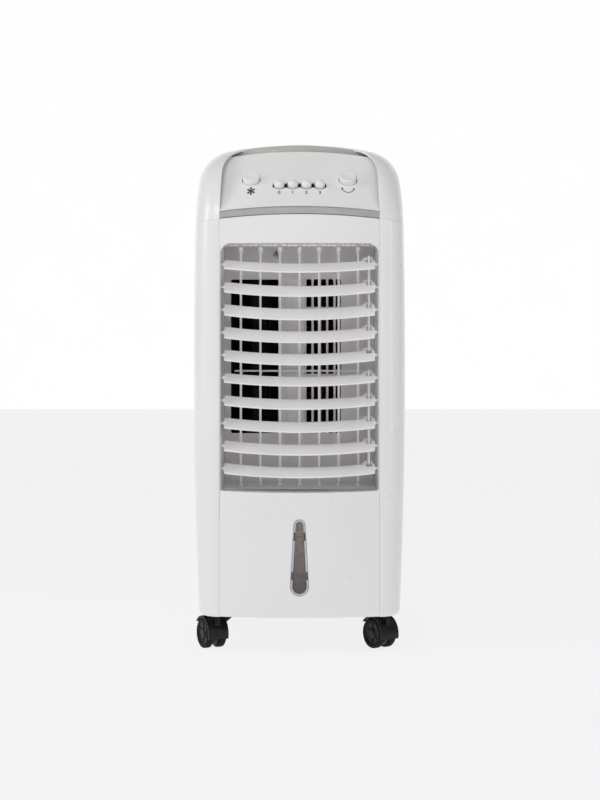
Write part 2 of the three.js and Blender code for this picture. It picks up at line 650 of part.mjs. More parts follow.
function ductScrew() {
  const y = DUCT.back - DUCT.wall - GAP;
  const body = solid(rodY(3.6, y - 2.2, y, -32.5, 505, 16));
  return geometryOf(cutBy(body, [
    box(-34.6, -30.4, y - 3, y - 1.3, 504.5, 505.5),
    box(-33, -32, y - 3, y - 1.3, 502.9, 507.1),
  ]));
}

// ---------------------------------------------------------------- water and intake side
function waterWindow() {
  const lens = alongY(windowPath(-GAP, THREE.Shape), -153, -120, 5);
  const curved = raised(outline([...frontArc(0.8, 30), ...frontArc(2.6, 30).reverse()]), [60, 180]);
  const flange = alongY(windowPath(2.5, THREE.Shape), FRONT_Y + 3.2, FRONT_Y + 5, 5);
  const stem = alongY(windowPath(-GAP - 0.8, THREE.Shape), FRONT_Y + 2, FRONT_Y + 4, 5);
  return geometryOf(solid(curved).intersect(solid(lens)).add(solid(flange)).add(solid(stem)));
}

function waterTank() {
  const { half, front, bottom, top, wall, doorHalf, doorBottom, doorTop } = TANK;
  const doorY = BACK_Y + GAP;
  const trough = solid(box(-half, half, front, doorY + 1, bottom, top));
  const hollow = box(-half + wall, half - wall, front + wall, BACK_Y - 7, bottom + wall, top + 1);
  const door = box(-doorHalf, doorHalf, doorY, REAR_FACE_Y - 0.4, doorBottom, doorTop);
  const grip = box(-TANK_GRIP.half, TANK_GRIP.half, REAR_FACE_Y - TANK_GRIP.depth, REAR_FACE_Y + 1,
    TANK_GRIP.bottom, TANK_GRIP.top);
  return geometryOf(cutBy(cutBy(trough, [hollow]).add(solid(door)), [grip]));
}

function pump() {
  const { x, y, radius, bottom, top, foot, spout, arm, hangerTop } = PUMP;
  const [near, far] = [y + 9, y + 9 + arm];
  return geometryOf(joined([
    rodZ(radius, bottom, top, x, y, 24),
    rodZ(radius + 2, bottom, bottom + foot, x, y, 24),
    rodZ(4.6, top - 1, spout, x, y, 12),
    box(x - 7, x + 7, near, far, top - 10, hangerTop),
    box(x - 7, x + 46, near, far, hangerTop - 5, hangerTop),
  ]));
}

function pumpHose() {
  const path = new THREE.CatmullRomCurve3(HOSE_ROUTE.map(([x, y, z]) => new THREE.Vector3(x, y, z)));
  const ring = new THREE.Shape();
  ring.absarc(0, 0, HOSE_RADIUS, 0, 2 * Math.PI);
  return new THREE.ExtrudeGeometry(ring, { steps: 24, curveSegments: 4, extrudePath: path });
}

function waterDistributor() {
  const shell = solid(box(-102, 103, PAD.front - 1, PAD.back + 1, PAD.top + 2, 518));
  return geometryOf(cutBy(shell, [box(-100, 101, PAD.front + 1.5, PAD.back - 1.5, PAD.top + 4.5, 519),
    rodX(HOSE_RADIUS + 0.6, 99, 104, 90, 512, 12)]));
}

// moulded frame crossed by slats and two mullions
function intakeGrille() {
  const { half, bottom, top, edge, rows, bar } = INTAKE;
  const pitch = (top - bottom) / rows;
  const front = BACK_Y + GAP;
  const bars = [
    box(-half - edge, -half + bar, front, REAR_FACE_Y, bottom - edge, top + edge),
    box(half - bar, half + edge, front, REAR_FACE_Y, bottom - edge, top + edge),
    ...[-half / 3, half / 3].map((x) => box(x - bar, x + bar, front, REAR_FACE_Y - 0.5, bottom, top)),
    box(-half, half, front, REAR_FACE_Y, bottom - edge, bottom + bar),
    box(-half, half, front, REAR_FACE_Y, top - bar, top + edge),
  ];
  for (let row = 1; row < rows; row += 1) {
    const z = bottom + row * pitch;
    bars.push(box(-half, half, front, REAR_FACE_Y - 0.2, z - bar, z + bar));
  }
  return geometryOf(joined(bars));
}

function dustFilter() {
  const { half, bottom, top, filterFront } = INTAKE;
  return box(-half + 1, half - 1, filterFront, BACK_Y - 0.6, bottom + 1, top - 1);
}

function coolingPad() {
  return box(-PAD.half, PAD.half, PAD.front, PAD.back, PAD.bottom, PAD.top);
}

function cordGland() {
  const body = solid(rodY(CORD.radius, BACK_Y + 0.4, REAR_FACE_Y - 0.4, CORD.x, CORD.z, 20));
  const neck = solid(rodY(CORD.neck, BACK_Y - 8, BACK_Y + 1, CORD.x, CORD.z, 20));
  return geometryOf(cutBy(body.add(neck), [rodY(CORD.bore, BACK_Y - 9, REAR_FACE_Y, CORD.x, CORD.z, 16)]));
}

// ---------------------------------------------------------------- casters
function casterPlaces() {
  const place = (name, x, y) => ({ name, x, y, yaw: rad(CASTER_YAW[name]) });
  return [
    place('front_left', -CASTER.frontX, CASTER.frontY), place('front_right', CASTER.frontX, CASTER.frontY),
    place('rear_left', -CASTER.rearX, CASTER.rearY), place('rear_right', CASTER.rearX, CASTER.rearY),
  ];
}

// swivel axis along Z through the origin; the axle runs along X behind it
function casterHood() {
  const { trail, wheel, hoodTop, stem, stemTop, tread, gap } = CASTER;
  const cheek = new THREE.Shape();
  cheek.moveTo(-9, 34);
  cheek.lineTo(-9, hoodTop);
  cheek.lineTo(trail + 4, hoodTop);
  cheek.absarc(trail, wheel, wheel + 2.4, rad(68), rad(-8), true);
  cheek.lineTo(trail, wheel - 8);
  cheek.lineTo(trail - 12, wheel + 4);
  const guard = new THREE.Shape();
  guard.moveTo(trail - 13, hoodTop);
  guard.lineTo(trail + 4, hoodTop);
  guard.absarc(trail, wheel, wheel + 3.6, rad(68), rad(5), true);
  guard.absarc(trail, wheel, wheel + 1.2, rad(5), rad(130), false);
  const half = gap + tread + 0.5;
  const body = joined([
    alongX(cheek, -gap + 0.8, gap - 0.8), alongX(guard, -half, half),
    rodZ(9, 37.5, hoodTop, 0, 0, 12), rodZ(stem, hoodTop - 1, stemTop, 0, 0, 8),
  ]);
  const swept = new THREE.CylinderGeometry(wheel + 1, wheel + 1, tread + 1.2, 18).rotateZ(Math.PI / 2);
  const offsets = [-1, 1].map((side) => side * (gap + tread / 2));
  return geometryOf(cutBy(body, [
    ...offsets.map((x) => swept.clone().translate(x, trail, wheel)),
    rodX(3.2, -gap, gap, trail, wheel, 12),
  ]));
}

// two treaded discs on one axle, turning about X through the origin
function casterWheels() {
  const { wheel, tread, gap } = CASTER;
  const sides = 16;
  const rim = wheel / Math.cos(Math.PI / sides);
  const profile = [[0, 0], [rim - 1.5, 0], [rim, 1.5], [rim, tread - 2], [rim - 2, tread], [0, tread]];
  const disc = new THREE.LatheGeometry(profile.map(([r, h]) => new THREE.Vector2(r, h)), sides);
  disc.rotateY(Math.PI / sides);
  const right = disc.clone().rotateZ(-Math.PI / 2).translate(gap, 0, 0);
  const left = disc.clone().rotateZ(Math.PI / 2).translate(-gap, 0, 0);
  return geometryOf(joined([right, left, rodX(2.6, -gap - 1, gap + 1, 0, 0, 8)]));
}

// ---------------------------------------------------------------- assembly
const cooler = new THREE.Group();

function add(name, geometry, material, parent = cooler) {
  const mesh = new THREE.Mesh(geometry, material);
  mesh.name = name;
  parent.add(mesh);
  return mesh;
}

add('base_pan', basePan(), paint.inner);
add('front_panel', frontPanel(), paint.shell);
add('left_pillar', pillar(-1), paint.shell);
add('right_pillar', pillar(1), paint.shell);
add('rear_housing', rearHousing(), paint.shell);
add('top_cover', topCover(), paint.shell);
add('control_fascia', controlFascia(), paint.fascia);
add('trim_strip', trimStrip(), paint.strip);
add('air_duct', airDuct(), paint.duct);
add('fan_scroll', fanScroll(), paint.fan);
add('fan_impeller', fanImpeller(), paint.fan).position.set(FAN.x, FAN.y, 0);
add('fan_motor', fanMotor(), paint.steel);
add('duct_screw', ductScrew(), paint.steel);
add('swing_motor', swingMotor(), paint.steel);
add('swing_crank', swingCrank(), paint.louver).position.set(14, VANE.axisY, 0);
add('water_window', waterWindow(), paint.clear);
add('water_tank', waterTank(), paint.shell);
add('pump', pump(), paint.fan);
add('pump_hose', pumpHose(), paint.hose);
add('water_distributor', waterDistributor(), paint.inner);
add('cooling_pad', coolingPad(), paint.pad);
add('intake_grille', intakeGrille(), paint.shell);
add('dust_filter', dustFilter(), paint.filter);
add('switch_bank', switchBank(), paint.fan);
add('cord_gland', cordGland(), paint.caster);

louverHeights().forEach((z, index) => {
  const louver = add(`louver_${index + 1}`, louverBlade(), paint.louver);
  louver.position.set(0, LOUVER.axisY, z);
  louver.rotation.x = louverTilt(index);
});
add('louver_link_upper', louverLink(0), paint.louver);
add('louver_link_lower', louverLink(GROUP_SIZE), paint.louver);

vanePlaces().forEach((x, index) => {
  add(`vane_${index + 1}`, vaneBlade(), paint.louver).position.set(x, VANE.axisY, 0);
});
add('vane_link', vaneLink(), paint.louver);

function addButton(name, size, crown, x) {
  const button = add(name, pushCap(size, crown), paint.louver);
  button.position.copy(fasciaPoint(x, size.along));
  button.rotation.x = FASCIA_RISE;
}
addButton('button_cool', BUTTON, 2, -BUTTON.x);
addButton('button_swing', BUTTON, 2, BUTTON.x);
keyPlaces().forEach((x, index) => addButton(`key_${index}`, KEY, 4, x));

casterPlaces().forEach(({ name, x, y, yaw }) => {
  const caster = new THREE.Group();
  caster.position.set(x, y, 0);
  caster.rotation.z = yaw;
  cooler.add(caster);
  add(`caster_${name}_hood`, casterHood(), paint.caster, caster);
  const wheels = add(`caster_${name}_wheels`, casterWheels(), paint.caster, caster);
  wheels.position.set(0, CASTER.trail, CASTER.wheel);
});

export default cooler;
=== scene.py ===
"""Looks of a household evaporative cooler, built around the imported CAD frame. Shapes are drawn in
millimetres and turned into metres when a mesh is made. The front faces -Y."""
import math

import bmesh
import bpy
from mathutils import Matrix, Vector


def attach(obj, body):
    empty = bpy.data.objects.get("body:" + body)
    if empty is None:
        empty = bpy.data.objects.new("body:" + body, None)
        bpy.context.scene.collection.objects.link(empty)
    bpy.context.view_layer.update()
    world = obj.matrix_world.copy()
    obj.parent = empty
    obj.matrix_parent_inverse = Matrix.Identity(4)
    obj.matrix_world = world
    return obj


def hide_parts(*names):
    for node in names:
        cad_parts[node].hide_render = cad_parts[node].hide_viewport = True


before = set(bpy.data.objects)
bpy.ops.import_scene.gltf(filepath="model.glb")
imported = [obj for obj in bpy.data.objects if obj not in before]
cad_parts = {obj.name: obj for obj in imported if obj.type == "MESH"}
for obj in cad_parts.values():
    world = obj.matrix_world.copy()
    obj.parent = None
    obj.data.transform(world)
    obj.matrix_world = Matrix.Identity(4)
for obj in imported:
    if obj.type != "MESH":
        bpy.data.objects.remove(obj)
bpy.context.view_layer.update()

MM = 0.001

# ------------------------------------------------------------------ driving dimensions
HALF_WIDTH = 135.2
FRONT_Y = -150.0
BACK_Y = 146.0
BODY_BOTTOM = 44.7
SEAM_Z = 543.0
TOP_Z = 649.4
WALL = 2.5
SEAM = 0.06
PANEL_HALF = 101.0
FRONT_BOW = 12.0
BARREL_Z = 370.0
BARREL_INSET = 7.0
BOTTOM_ROUND = 2.8
ROUND_TOP_Z = 53.0
SIDE_SEAM_Y = 62.0
EDGE_RISE = 5.0
STRIP_LOW_Z = 546.3
STRIP_HIGH_Z = 554.4
INTAKE_HALF = 104.0
INTAKE_LOW = 216.0
INTAKE_HIGH = 512.0
BAY_HALF = 100.6
BAY_BACK_Y = -57.0
CREST_FRONT_Y = -70.0
CREST_REAR_Y = 92.0
FASCIA_LOW = Vector((0, -146.2, 561.3))
FASCIA_HIGH = Vector((0, -60.0, 639.0))
FASCIA_DROOP = 5.6
LOUVER_COUNT = 10
LOUVER_PITCH = 28.6
LOUVER_MIDDLE_Z = 359.8
LOUVER_AXIS_Y = -128.0
LOUVER_HALF = 95.0
LOUVER_CHORD = 21.0
LOUVER_BOW = 9.0
GROUP_SIZE = 5
UPPER_TILT = 41.0
LOWER_TILT = 35.0
LINK_X = 87.9
LINK_ARM = 12.6
NOTCH_HALF = 3.5
NOTCH_FLOOR = 3.0
NOTCH_KEEP = 0.2
VANE_COUNT = 7
VANE_PITCH = 25.0
VANE_AXIS_Y = -90.0
VANE_EAR = 17.0
VANE_XS = [(i - (VANE_COUNT - 1) / 2) * VANE_PITCH for i in range(VANE_COUNT)]
WINDOW_BOTTOM = 72.4
WINDOW_TOP = 168.6
WINDOW_LOW_R = 11.9
WINDOW_HIGH_R = 7.5


def clamp(value, low, high):
    return max(low, min(high, value))


def mix(a, b, t):
    return a + (b - a) * t


# ------------------------------------------------------------------ curves
def bezier(p0, p1, p2, p3, count):
    """count + 1 points on a cubic curve."""
    points = []
    for i in range(count + 1):
        t = i / count
        s = 1 - t
        weights = (s ** 3, 3 * s * s * t, 3 * s * t * t, t ** 3)
        points.append(tuple(sum(w * p[k] for w, p in zip(weights, (p0, p1, p2, p3))) for k in range(len(p0))))
    return points


def arc(cx, cy, radius, start, end, count):
    """count + 1 points on an arc, angles in degrees."""
    angles = [math.radians(mix(start, end, i / count)) for i in range(count + 1)]
    return [(cx + radius * math.cos(a), cy + radius * math.sin(a)) for a in angles]


def resampled(points, fractions):
    """Points at the given fractions of a polyline's length."""
    lengths = [0.0]
    for a, b in zip(points, points[1:]):
        lengths.append(lengths[-1] + math.dist(a, b))
    found = []
    index = 0
    for fraction in fractions:
        target = fraction * lengths[-1]
        while index < len(points) - 2 and lengths[index + 1] < target:
            index += 1
        while index > 0 and lengths[index] > target:
            index -= 1
        span = max(lengths[index + 1] - lengths[index], 1e-9)
        t = clamp((target - lengths[index]) / span, 0, 1)
        found.append(tuple(mix(u, v, t) for u, v in zip(points[index], points[index + 1])))
    return found


def even(count):
    return [i / count for i in range(count + 1)]


# ------------------------------------------------------------------ the body's outer form
def front_y(x):
    return FRONT_Y + FRONT_BOW * (x / PANEL_HALF) ** 2


def side_inset(z):
    return BARREL_INSET * ((z - BARREL_Z) / (BARREL_Z - BODY_BOTTOM)) ** 2


def bottom_inset(z):
    down = clamp((ROUND_TOP_Z - z) / (ROUND_TOP_Z - BODY_BOTTOM), 0, 1)
    return BOTTOM_ROUND * (1 - math.sqrt(1 - down ** 2))


def barrelled(x, y, z):
    outward = clamp((abs(x) - PANEL_HALF) / (HALF_WIDTH - PANEL_HALF), 0, 1)
    x -= math.copysign(outward * (side_inset(z) + bottom_inset(z)), x)
    if abs(y) > 100:
        y -= math.copysign(bottom_inset(z) * clamp((abs(y) - 100) / 20, 0, 1), y)
    return (x, y, z)


FRONT_CORNER = bezier((PANEL_HALF + SEAM, front_y(PANEL_HALF)), (116, -138), (HALF_WIDTH, -130),
                      (HALF_WIDTH, -92), 40)
REAR_CORNER = bezier((HALF_WIDTH, 112), (HALF_WIDTH, 132), (130, BACK_Y), (112, BACK_Y), 30)
WALL_HEIGHTS = [mix(BODY_BOTTOM, ROUND_TOP_Z, 1 - math.cos(math.pi / 2 * i / 9)) for i in range(9)]
WALL_HEIGHTS += [mix(ROUND_TOP_Z, SEAM_Z, i / 40) for i in range(41)]

# ------------------------------------------------------------------ mesh building
def linked(name, mesh):
    obj = bpy.data.objects.new(name, mesh)
    bpy.context.collection.objects.link(obj)
    return obj


def upright(x, y, w):
    return (x, y, w)


class Shape:
    """Gathers solid pieces, in millimetres, into one mesh."""

    def __init__(self):
        self.bm = bmesh.new()

    def faces(self, points, faces):
        verts = [self.bm.verts.new(p) for p in points]
        for face in faces:
            if len(set(face)) > 2:
                self.bm.faces.new([verts[i] for i in face])
        return verts

    def grid(self, rows, closed_rows=False, cap=False):
        """A skin through rows of points. closed_rows joins each row's ends; cap fills the first and last."""
        width = len(rows[0])
        points = [p for row in rows for p in row]
        faces = []
        for r in range(len(rows) - 1):
            for c in range(width if closed_rows else width - 1):
                d = (c + 1) % width
                faces.append((r * width + c, r * width + d, (r + 1) * width + d, (r + 1) * width + c))
        if cap:
            faces.append(tuple(range(width))[::-1])
            faces.append(tuple(range((len(rows) - 1) * width, len(rows) * width)))
        return self.faces(points, faces)

    def block(self, x0, x1, y0, y1, z0, z1, soft, segments=2):
        verts = bmesh.ops.create_cube(self.bm, size=1)["verts"]
        size = Matrix.Diagonal((x1 - x0, y1 - y0, z1 - z0, 1))
        bmesh.ops.transform(self.bm, verts=verts, matrix=size)
        bmesh.ops.translate(self.bm, verts=verts, vec=((x0 + x1) / 2, (y0 + y1) / 2, (z0 + z1) / 2))
        return self.softened(verts, soft, segments)

    def softened(self, verts, soft, segments):
        if soft <= 0:
            return verts
        chosen = set(verts)
        edges = [e for e in self.bm.edges if e.verts[0] in chosen and e.verts[1] in chosen
                 and len(e.link_faces) == 2 and e.calc_face_angle(0) > math.radians(40)]
        done = bmesh.ops.bevel(self.bm, geom=edges, offset=soft, segments=segments, profile=0.5,
                               affect="EDGES", clamp_overlap=True)
        return list({v for v in verts if v.is_valid} | set(done["verts"]))

    def lathe(self, profile, segments, matrix=None):
        """Turns (radius, height) points about Z; ends on the axis are closed."""
        rings = []
        for radius, height in profile:
            if radius < 1e-6:
                rings.append([self.bm.verts.new((0, 0, height))])
            else:
                rings.append([self.bm.verts.new((radius * math.cos(2 * math.pi * i / segments),
                                                 radius * math.sin(2 * math.pi * i / segments), height))
                              for i in range(segments)])
        for low, high in zip(rings, rings[1:]):
            for i in range(segments):
                j = (i + 1) % segments
                corners = [low[i % len(low)], low[j % len(low)], high[j % len(high)], high[i % len(high)]]
                unique = list(dict.fromkeys(corners))
                if len(unique) > 2:
                    self.bm.faces.new(unique)
        verts = [v for ring in rings for v in ring]
        if matrix is not None:
            bmesh.ops.transform(self.bm, verts=verts, matrix=matrix)
        return verts

    def rod(self, start, end, radius, soft):
        """A rod between two points with softened ends."""
        a, b = Vector(start), Vector(end)
        length = (b - a).length
        soft = min(soft, radius * 0.6, length * 0.4)
        round_in = [(radius - soft + soft * math.sin(t), soft - soft * math.cos(t))
                    for t in (0, math.pi / 4, math.pi / 2)]
        profile = [(0, 0), *round_in, *[(r, length - h) for r, h in reversed(round_in)], (0, length)]
        turn = (b - a).to_track_quat("Z", "Y").to_matrix().to_4x4()
        return self.lathe(profile, 20, Matrix.Translation(a) @ turn)

    def prism(self, outline, place, low, high, soft=0.0, segments=2):
        """An outline raised from low to high; place(u, v, w) gives the point."""
        count = len(outline)
        points = [place(u, v, low) for u, v in outline] + [place(u, v, high) for u, v in outline]
        faces = [tuple(range(count))[::-1], tuple(range(count, 2 * count))]
        faces += [(i, (i + 1) % count, count + (i + 1) % count, count + i) for i in range(count)]
        verts = self.faces(points, faces)
        bmesh.ops.recalc_face_normals(self.bm, faces=list({f for v in verts for f in v.link_faces}))
        return self.softened(verts, soft, segments)

    def move(self, verts, matrix):
        bmesh.ops.transform(self.bm, verts=[v for v in verts if v.is_valid], matrix=matrix)

    def mesh(self, name, sharp):
        """Ends the shape: normals out, metres, smooth shading broken at sharp edges."""
        bm = self.bm
        bmesh.ops.recalc_face_normals(bm, faces=bm.faces[:])
        bmesh.ops.scale(bm, verts=bm.verts[:], vec=(MM, MM, MM))
        for face in bm.faces:
            face.smooth = True
        mesh = bpy.data.meshes.new(name)
        bm.to_mesh(mesh)
        bm.free()
        mesh.set_sharp_from_angle(angle=math.radians(sharp))
        return mesh

    def object(self, name, sharp=40):
        return linked(name, self.mesh(name, sharp))


def modifier(obj, kind, **settings):
    made = obj.modifiers.new(kind.title(), kind)
    for key, value in settings.items():
        setattr(made, key, value)
    return made


def baked(obj, sharp):
    """Applies an object's modifiers to its mesh."""
    bpy.context.view_layer.update()
    graph = bpy.context.evaluated_depsgraph_get()
    mesh = bpy.data.meshes.new_from_object(obj.evaluated_get(graph))
    mesh.name = obj.name
    obj.modifiers.clear()
    obj.data = mesh
    mesh.set_sharp_from_angle(angle=math.radians(sharp))
    return obj


def shelled(obj, soft=0.9):
    """Gives a skin its wall thickness inwards and rounds the rims."""
    modifier(obj, "SOLIDIFY", thickness=WALL * MM, offset=-1, use_even_offset=True,
             use_quality_normals=True)
    modifier(obj, "BEVEL", width=soft * MM, segments=3, limit_method="ANGLE",
             angle_limit=math.radians(50), harden_normals=False)
    modifier(obj, "WEIGHTED_NORMAL", keep_sharp=True, weight=80)
    return baked(obj, sharp=60)


def filled_sheet(name, outline, holes, thickness, soft, place, cuts_u=(), cuts_v=()):
    """A sheet cut from a flat outline with holes and rounded rims, then put in place by place(u, v, w).
    w runs from 0 at the visible face to -thickness behind it. The cuts let it bend smoothly."""
    curve = bpy.data.curves.new(name, "CURVE")
    curve.dimensions = "2D"
    curve.fill_mode = "BOTH"
    curve.extrude = thickness / 2 - soft
    curve.bevel_depth = soft
    curve.bevel_resolution = 2
    curve.offset = -soft
    for points in (outline, *holes):
        spline = curve.splines.new("POLY")
        spline.points.add(len(points) - 1)
        for point, (u, v) in zip(spline.points, points):
            point.co = (u, v, 0, 1)
        spline.use_cyclic_u = True
    flat = linked(name, curve)
    bpy.context.view_layer.update()
    graph = bpy.context.evaluated_depsgraph_get()
    mesh = bpy.data.meshes.new_from_object(flat.evaluated_get(graph))
    bpy.data.objects.remove(flat)
    bpy.data.curves.remove(curve)
    bm = bmesh.new()
    bm.from_mesh(mesh)
    bpy.data.meshes.remove(mesh)
    bmesh.ops.remove_doubles(bm, verts=bm.verts[:], dist=1e-4)
    for axis, cuts in ((0, cuts_u), (1, cuts_v)):
        for cut in cuts:
            normal = (1, 0, 0) if axis == 0 else (0, 1, 0)
            point = (cut, 0, 0) if axis == 0 else (0, cut, 0)
            bmesh.ops.bisect_plane(bm, geom=[*bm.verts, *bm.edges, *bm.faces], dist=1e-4,
                                   plane_co=point, plane_no=normal)
    for vert in bm.verts:
        vert.co = place(vert.co.x, vert.co.y, vert.co.z - thickness / 2)
    shape = Shape()
    shape.bm.free()
    shape.bm = bm
    obj = shape.object(name, 50)
    modifier(obj, "WEIGHTED_NORMAL", keep_sharp=True, weight=80)
    return baked(obj, 50)


def steps(low, high, step):
    count = max(1, round((high - low) / step))
    return [mix(low, high, i / count) for i in range(1, count)]


def piece(obj, material, slot, body, *nodes):
    """Dresses a finished object and ties it to its CAD body and nodes."""
    obj.data.materials.clear()
    obj.data.materials.append(material)
    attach(obj, body)
    if nodes:
        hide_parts(*nodes)


# ------------------------------------------------------------------ materials
def tone(red, green, blue):
    """A screen colour, 0 to 255 a channel, as the linear colour a shader wants."""
    def linear(value):
        value /= 255
        return value / 12.92 if value <= 0.04045 else ((value + 0.055) / 1.055) ** 2.4
    return (linear(red), linear(green), linear(blue), 1)


class Finish:
    """A material on one Principled shader, with the noise that varies it."""

    def __init__(self, name, **sockets):
        self.material = bpy.data.materials.new(name)
        self.material.use_nodes = True
        self.tree = self.material.node_tree
        self.shader = self.tree.nodes["Principled BSDF"]
        self.place = self.add("ShaderNodeTexCoord").outputs["Object"]
        for key, value in sockets.items():
            self.shader.inputs[key.replace("_", " ")].default_value = value

    def add(self, kind, **sockets):
        node = self.tree.nodes.new(kind)
        for key, value in sockets.items():
            node.inputs[key.replace("_", " ")].default_value = value
        return node

    def join(self, source, target):
        self.tree.links.new(source, target)

    def noise(self, scale, detail=3.0, stretch=None):
        node = self.add("ShaderNodeTexNoise", Scale=scale, Detail=detail, Roughness=0.55)
        place = self.place
        if stretch:
            mapping = self.add("ShaderNodeMapping", Scale=stretch)
            self.join(place, mapping.inputs["Vector"])
            place = mapping.outputs["Vector"]
        self.join(place, node.inputs["Vector"])
        return node.outputs["Fac"]

    def ramp(self, source, low, high, start=0.35, end=0.65):
        node = self.add("ShaderNodeValToRGB")
        node.color_ramp.elements[0].position = start
        node.color_ramp.elements[1].position = end
        node.color_ramp.elements[0].color = low
        node.color_ramp.elements[1].color = high
        self.join(source, node.inputs["Fac"])
        return node.outputs["Color"]

    def colour(self, low, high, scale, **options):
        self.join(self.ramp(self.noise(scale, **options), low, high), self.shader.inputs["Base Color"])
        return self

    def roughness(self, low, high, scale, **options):
        source = self.ramp(self.noise(scale, **options), (low, low, low, 1), (high, high, high, 1))
        self.join(source, self.shader.inputs["Roughness"])
        return self

    def relief(self, *layers):
        """Stacks bumps; a layer is (height source, height in mm, strength)."""
        normal = None
        for source, height, strength in layers:
            bump = self.add("ShaderNodeBump", Strength=strength, Distance=height * MM)
            self.join(source, bump.inputs["Height"])
            if normal is not None:
                self.join(normal, bump.inputs["Normal"])
            normal = bump.outputs["Normal"]
        self.join(normal, self.shader.inputs["Normal"])
        return self


def moulded(name, low, high, scale, rough, *bumps, stretch=None, **sockets):
    """A finish with mottled colour, uneven gloss and fine relief. rough is (low, high, scale); a bump is
    (scale, detail, height in mm, strength)."""
    finish = Finish(name, **sockets)
    finish.colour(tone(*low), tone(*high), scale, stretch=stretch).roughness(*rough)
    return finish.relief(*[(finish.noise(grain, detail), height, strength)
                           for grain, detail, height, strength in bumps]).material


def shell_plastic():
    return moulded("shell_plastic", (235, 234, 235), (238, 237, 238), 6, (0.27, 0.31, 14), (700, 2, 0.03, 0.1),
                   (90, 2, 0.03, 0.05), Specular_IOR_Level=0.5, Coat_Weight=0.25, Coat_Roughness=0.12)


def louver_plastic():
    return moulded("louver_plastic", (236, 235, 235), (241, 240, 240), 18, (0.32, 0.44, 30), (900, 2, 0.03, 0.2),
                   Specular_IOR_Level=0.45)


# Whiter copy of the louver plastic: painted brightness that lifts the vanes, their link and rails out of the duct's
# shade.
def vane_plastic():
    return moulded("vane_plastic", (250, 249, 250), (254, 253, 254), 18, (0.3, 0.42, 30), (900, 2, 0.03, 0.2),
                   Specular_IOR_Level=0.5, Coat_Weight=0.35, Coat_Roughness=0.2)


def tunnel_plastic():
    """The duct's plastic made paler on the floor and sides: painted brightness that offsets the shade they sit in.
    """
    return moulded("tunnel_plastic", (248, 246, 247), (252, 250, 251), 16, (0.36, 0.48, 26), (800, 2, 0.03, 0.2),
                   Specular_IOR_Level=0.45)


def fascia_plastic():
    return moulded("fascia_plastic", (238, 237, 236), (242, 241, 240), 12, (0.48, 0.6, 40), (1500, 3, 0.05, 0.35),
                   Specular_IOR_Level=0.4)


def strip_paint():
    return moulded("strip_paint", (171, 171, 168), (179, 179, 175), 30, (0.34, 0.46, 60), (1800, 2, 0.02, 0.2),
                   stretch=(1, 8, 8), Specular_IOR_Level=0.5, Metallic=0.15)


def duct_plastic():
    return moulded("duct_plastic", (236, 231, 232), (242, 237, 238), 14, (0.4, 0.52, 26), (800, 2, 0.04, 0.2),
                   Specular_IOR_Level=0.5)


# Mid grey for hidden inner parts; on the base tray it serves as painted shade.
def inner_plastic():
    return moulded("inner_plastic", (112, 108, 108), (124, 120, 120), 20, (0.5, 0.62, 30), (700, 2, 0.05, 0.3),
                   Specular_IOR_Level=0.4)


# Near black as painted shade: it fills the gaps round the buttons and keys, and the cross slot of the duct screw.
def recess_plastic():
    return moulded("recess_plastic", (34, 33, 33), (44, 42, 42), 40, (0.7, 0.85, 60), (900, 2, 0.05, 0.3),
                   Specular_IOR_Level=0.2)


def fan_plastic():
    return moulded("fan_plastic", (16, 16, 17), (26, 26, 27), 30, (0.55, 0.7, 50), (600, 2, 0.05, 0.3),
                   Specular_IOR_Level=0.25)


def caster_plastic():
    return moulded("caster_plastic", (8, 8, 8), (15, 15, 15), 70, (0.28, 0.44, 90), (1200, 3, 0.08, 0.35),
                   (60, 2, 0.2, 0.15), Specular_IOR_Level=0.3)


def tyre_rubber():
    return moulded("tyre_rubber", (9, 9, 9), (19, 18, 18), 120, (0.6, 0.8, 200), (1500, 4, 0.12, 0.5),
                   Specular_IOR_Level=0.25)


def rim_plastic():
    return moulded("rim_plastic", (196, 196, 206), (208, 208, 217), 60, (0.1, 0.2, 80), (400, 2, 0.03, 0.15),
                   Specular_IOR_Level=0.6, Transmission_Weight=0.15, IOR=1.46)


def lens_plastic():
    """Smoky see-through strip, paler at the top."""
    finish = Finish("lens_plastic", Specular_IOR_Level=0.5, Coat_Weight=0.6, Coat_Roughness=0.08)
    split = finish.add("ShaderNodeSeparateXYZ")
    finish.join(finish.place, split.inputs["Vector"])
    height = finish.add("ShaderNodeMapRange", From_Min=WINDOW_BOTTOM * MM, From_Max=WINDOW_TOP * MM)
    finish.join(split.outputs["Z"], height.inputs["Value"])
    shade = finish.ramp(height.outputs["Result"], tone(84, 77, 75), tone(130, 121, 116), 0.1, 0.95)
    mottle = finish.ramp(finish.noise(160, 3), tone(224, 222, 220), tone(255, 255, 255))
    blend = finish.add("ShaderNodeMix")
    blend.data_type = "RGBA"
    blend.blend_type = "MULTIPLY"
    blend.inputs["Factor"].default_value = 1
    finish.join(shade, blend.inputs[6])
    finish.join(mottle, blend.inputs[7])
    finish.join(blend.outputs[2], finish.shader.inputs["Base Color"])
    finish.roughness(0.16, 0.28, 120)
    return finish.relief((finish.noise(300, 2), 0.03, 0.15)).material


def level_mark():
    """Lines moulded into the lens, a shade darker than it."""
    return moulded("level_mark", (84, 77, 75), (94, 87, 84), 300, (0.3, 0.45, 300), (900, 2, 0.02, 0.2),
                   Specular_IOR_Level=0.4)


def steel_metal():
    return moulded("steel_metal", (170, 168, 164), (206, 204, 200), 300, (0.24, 0.42, 500), (1500, 2, 0.02, 0.3),
                   Metallic=1.0)


def ink():
    return moulded("print_ink", (58, 57, 56), (72, 71, 70), 500, (0.45, 0.6, 400), (2500, 2, 0.01, 0.3),
                   Specular_IOR_Level=0.35)


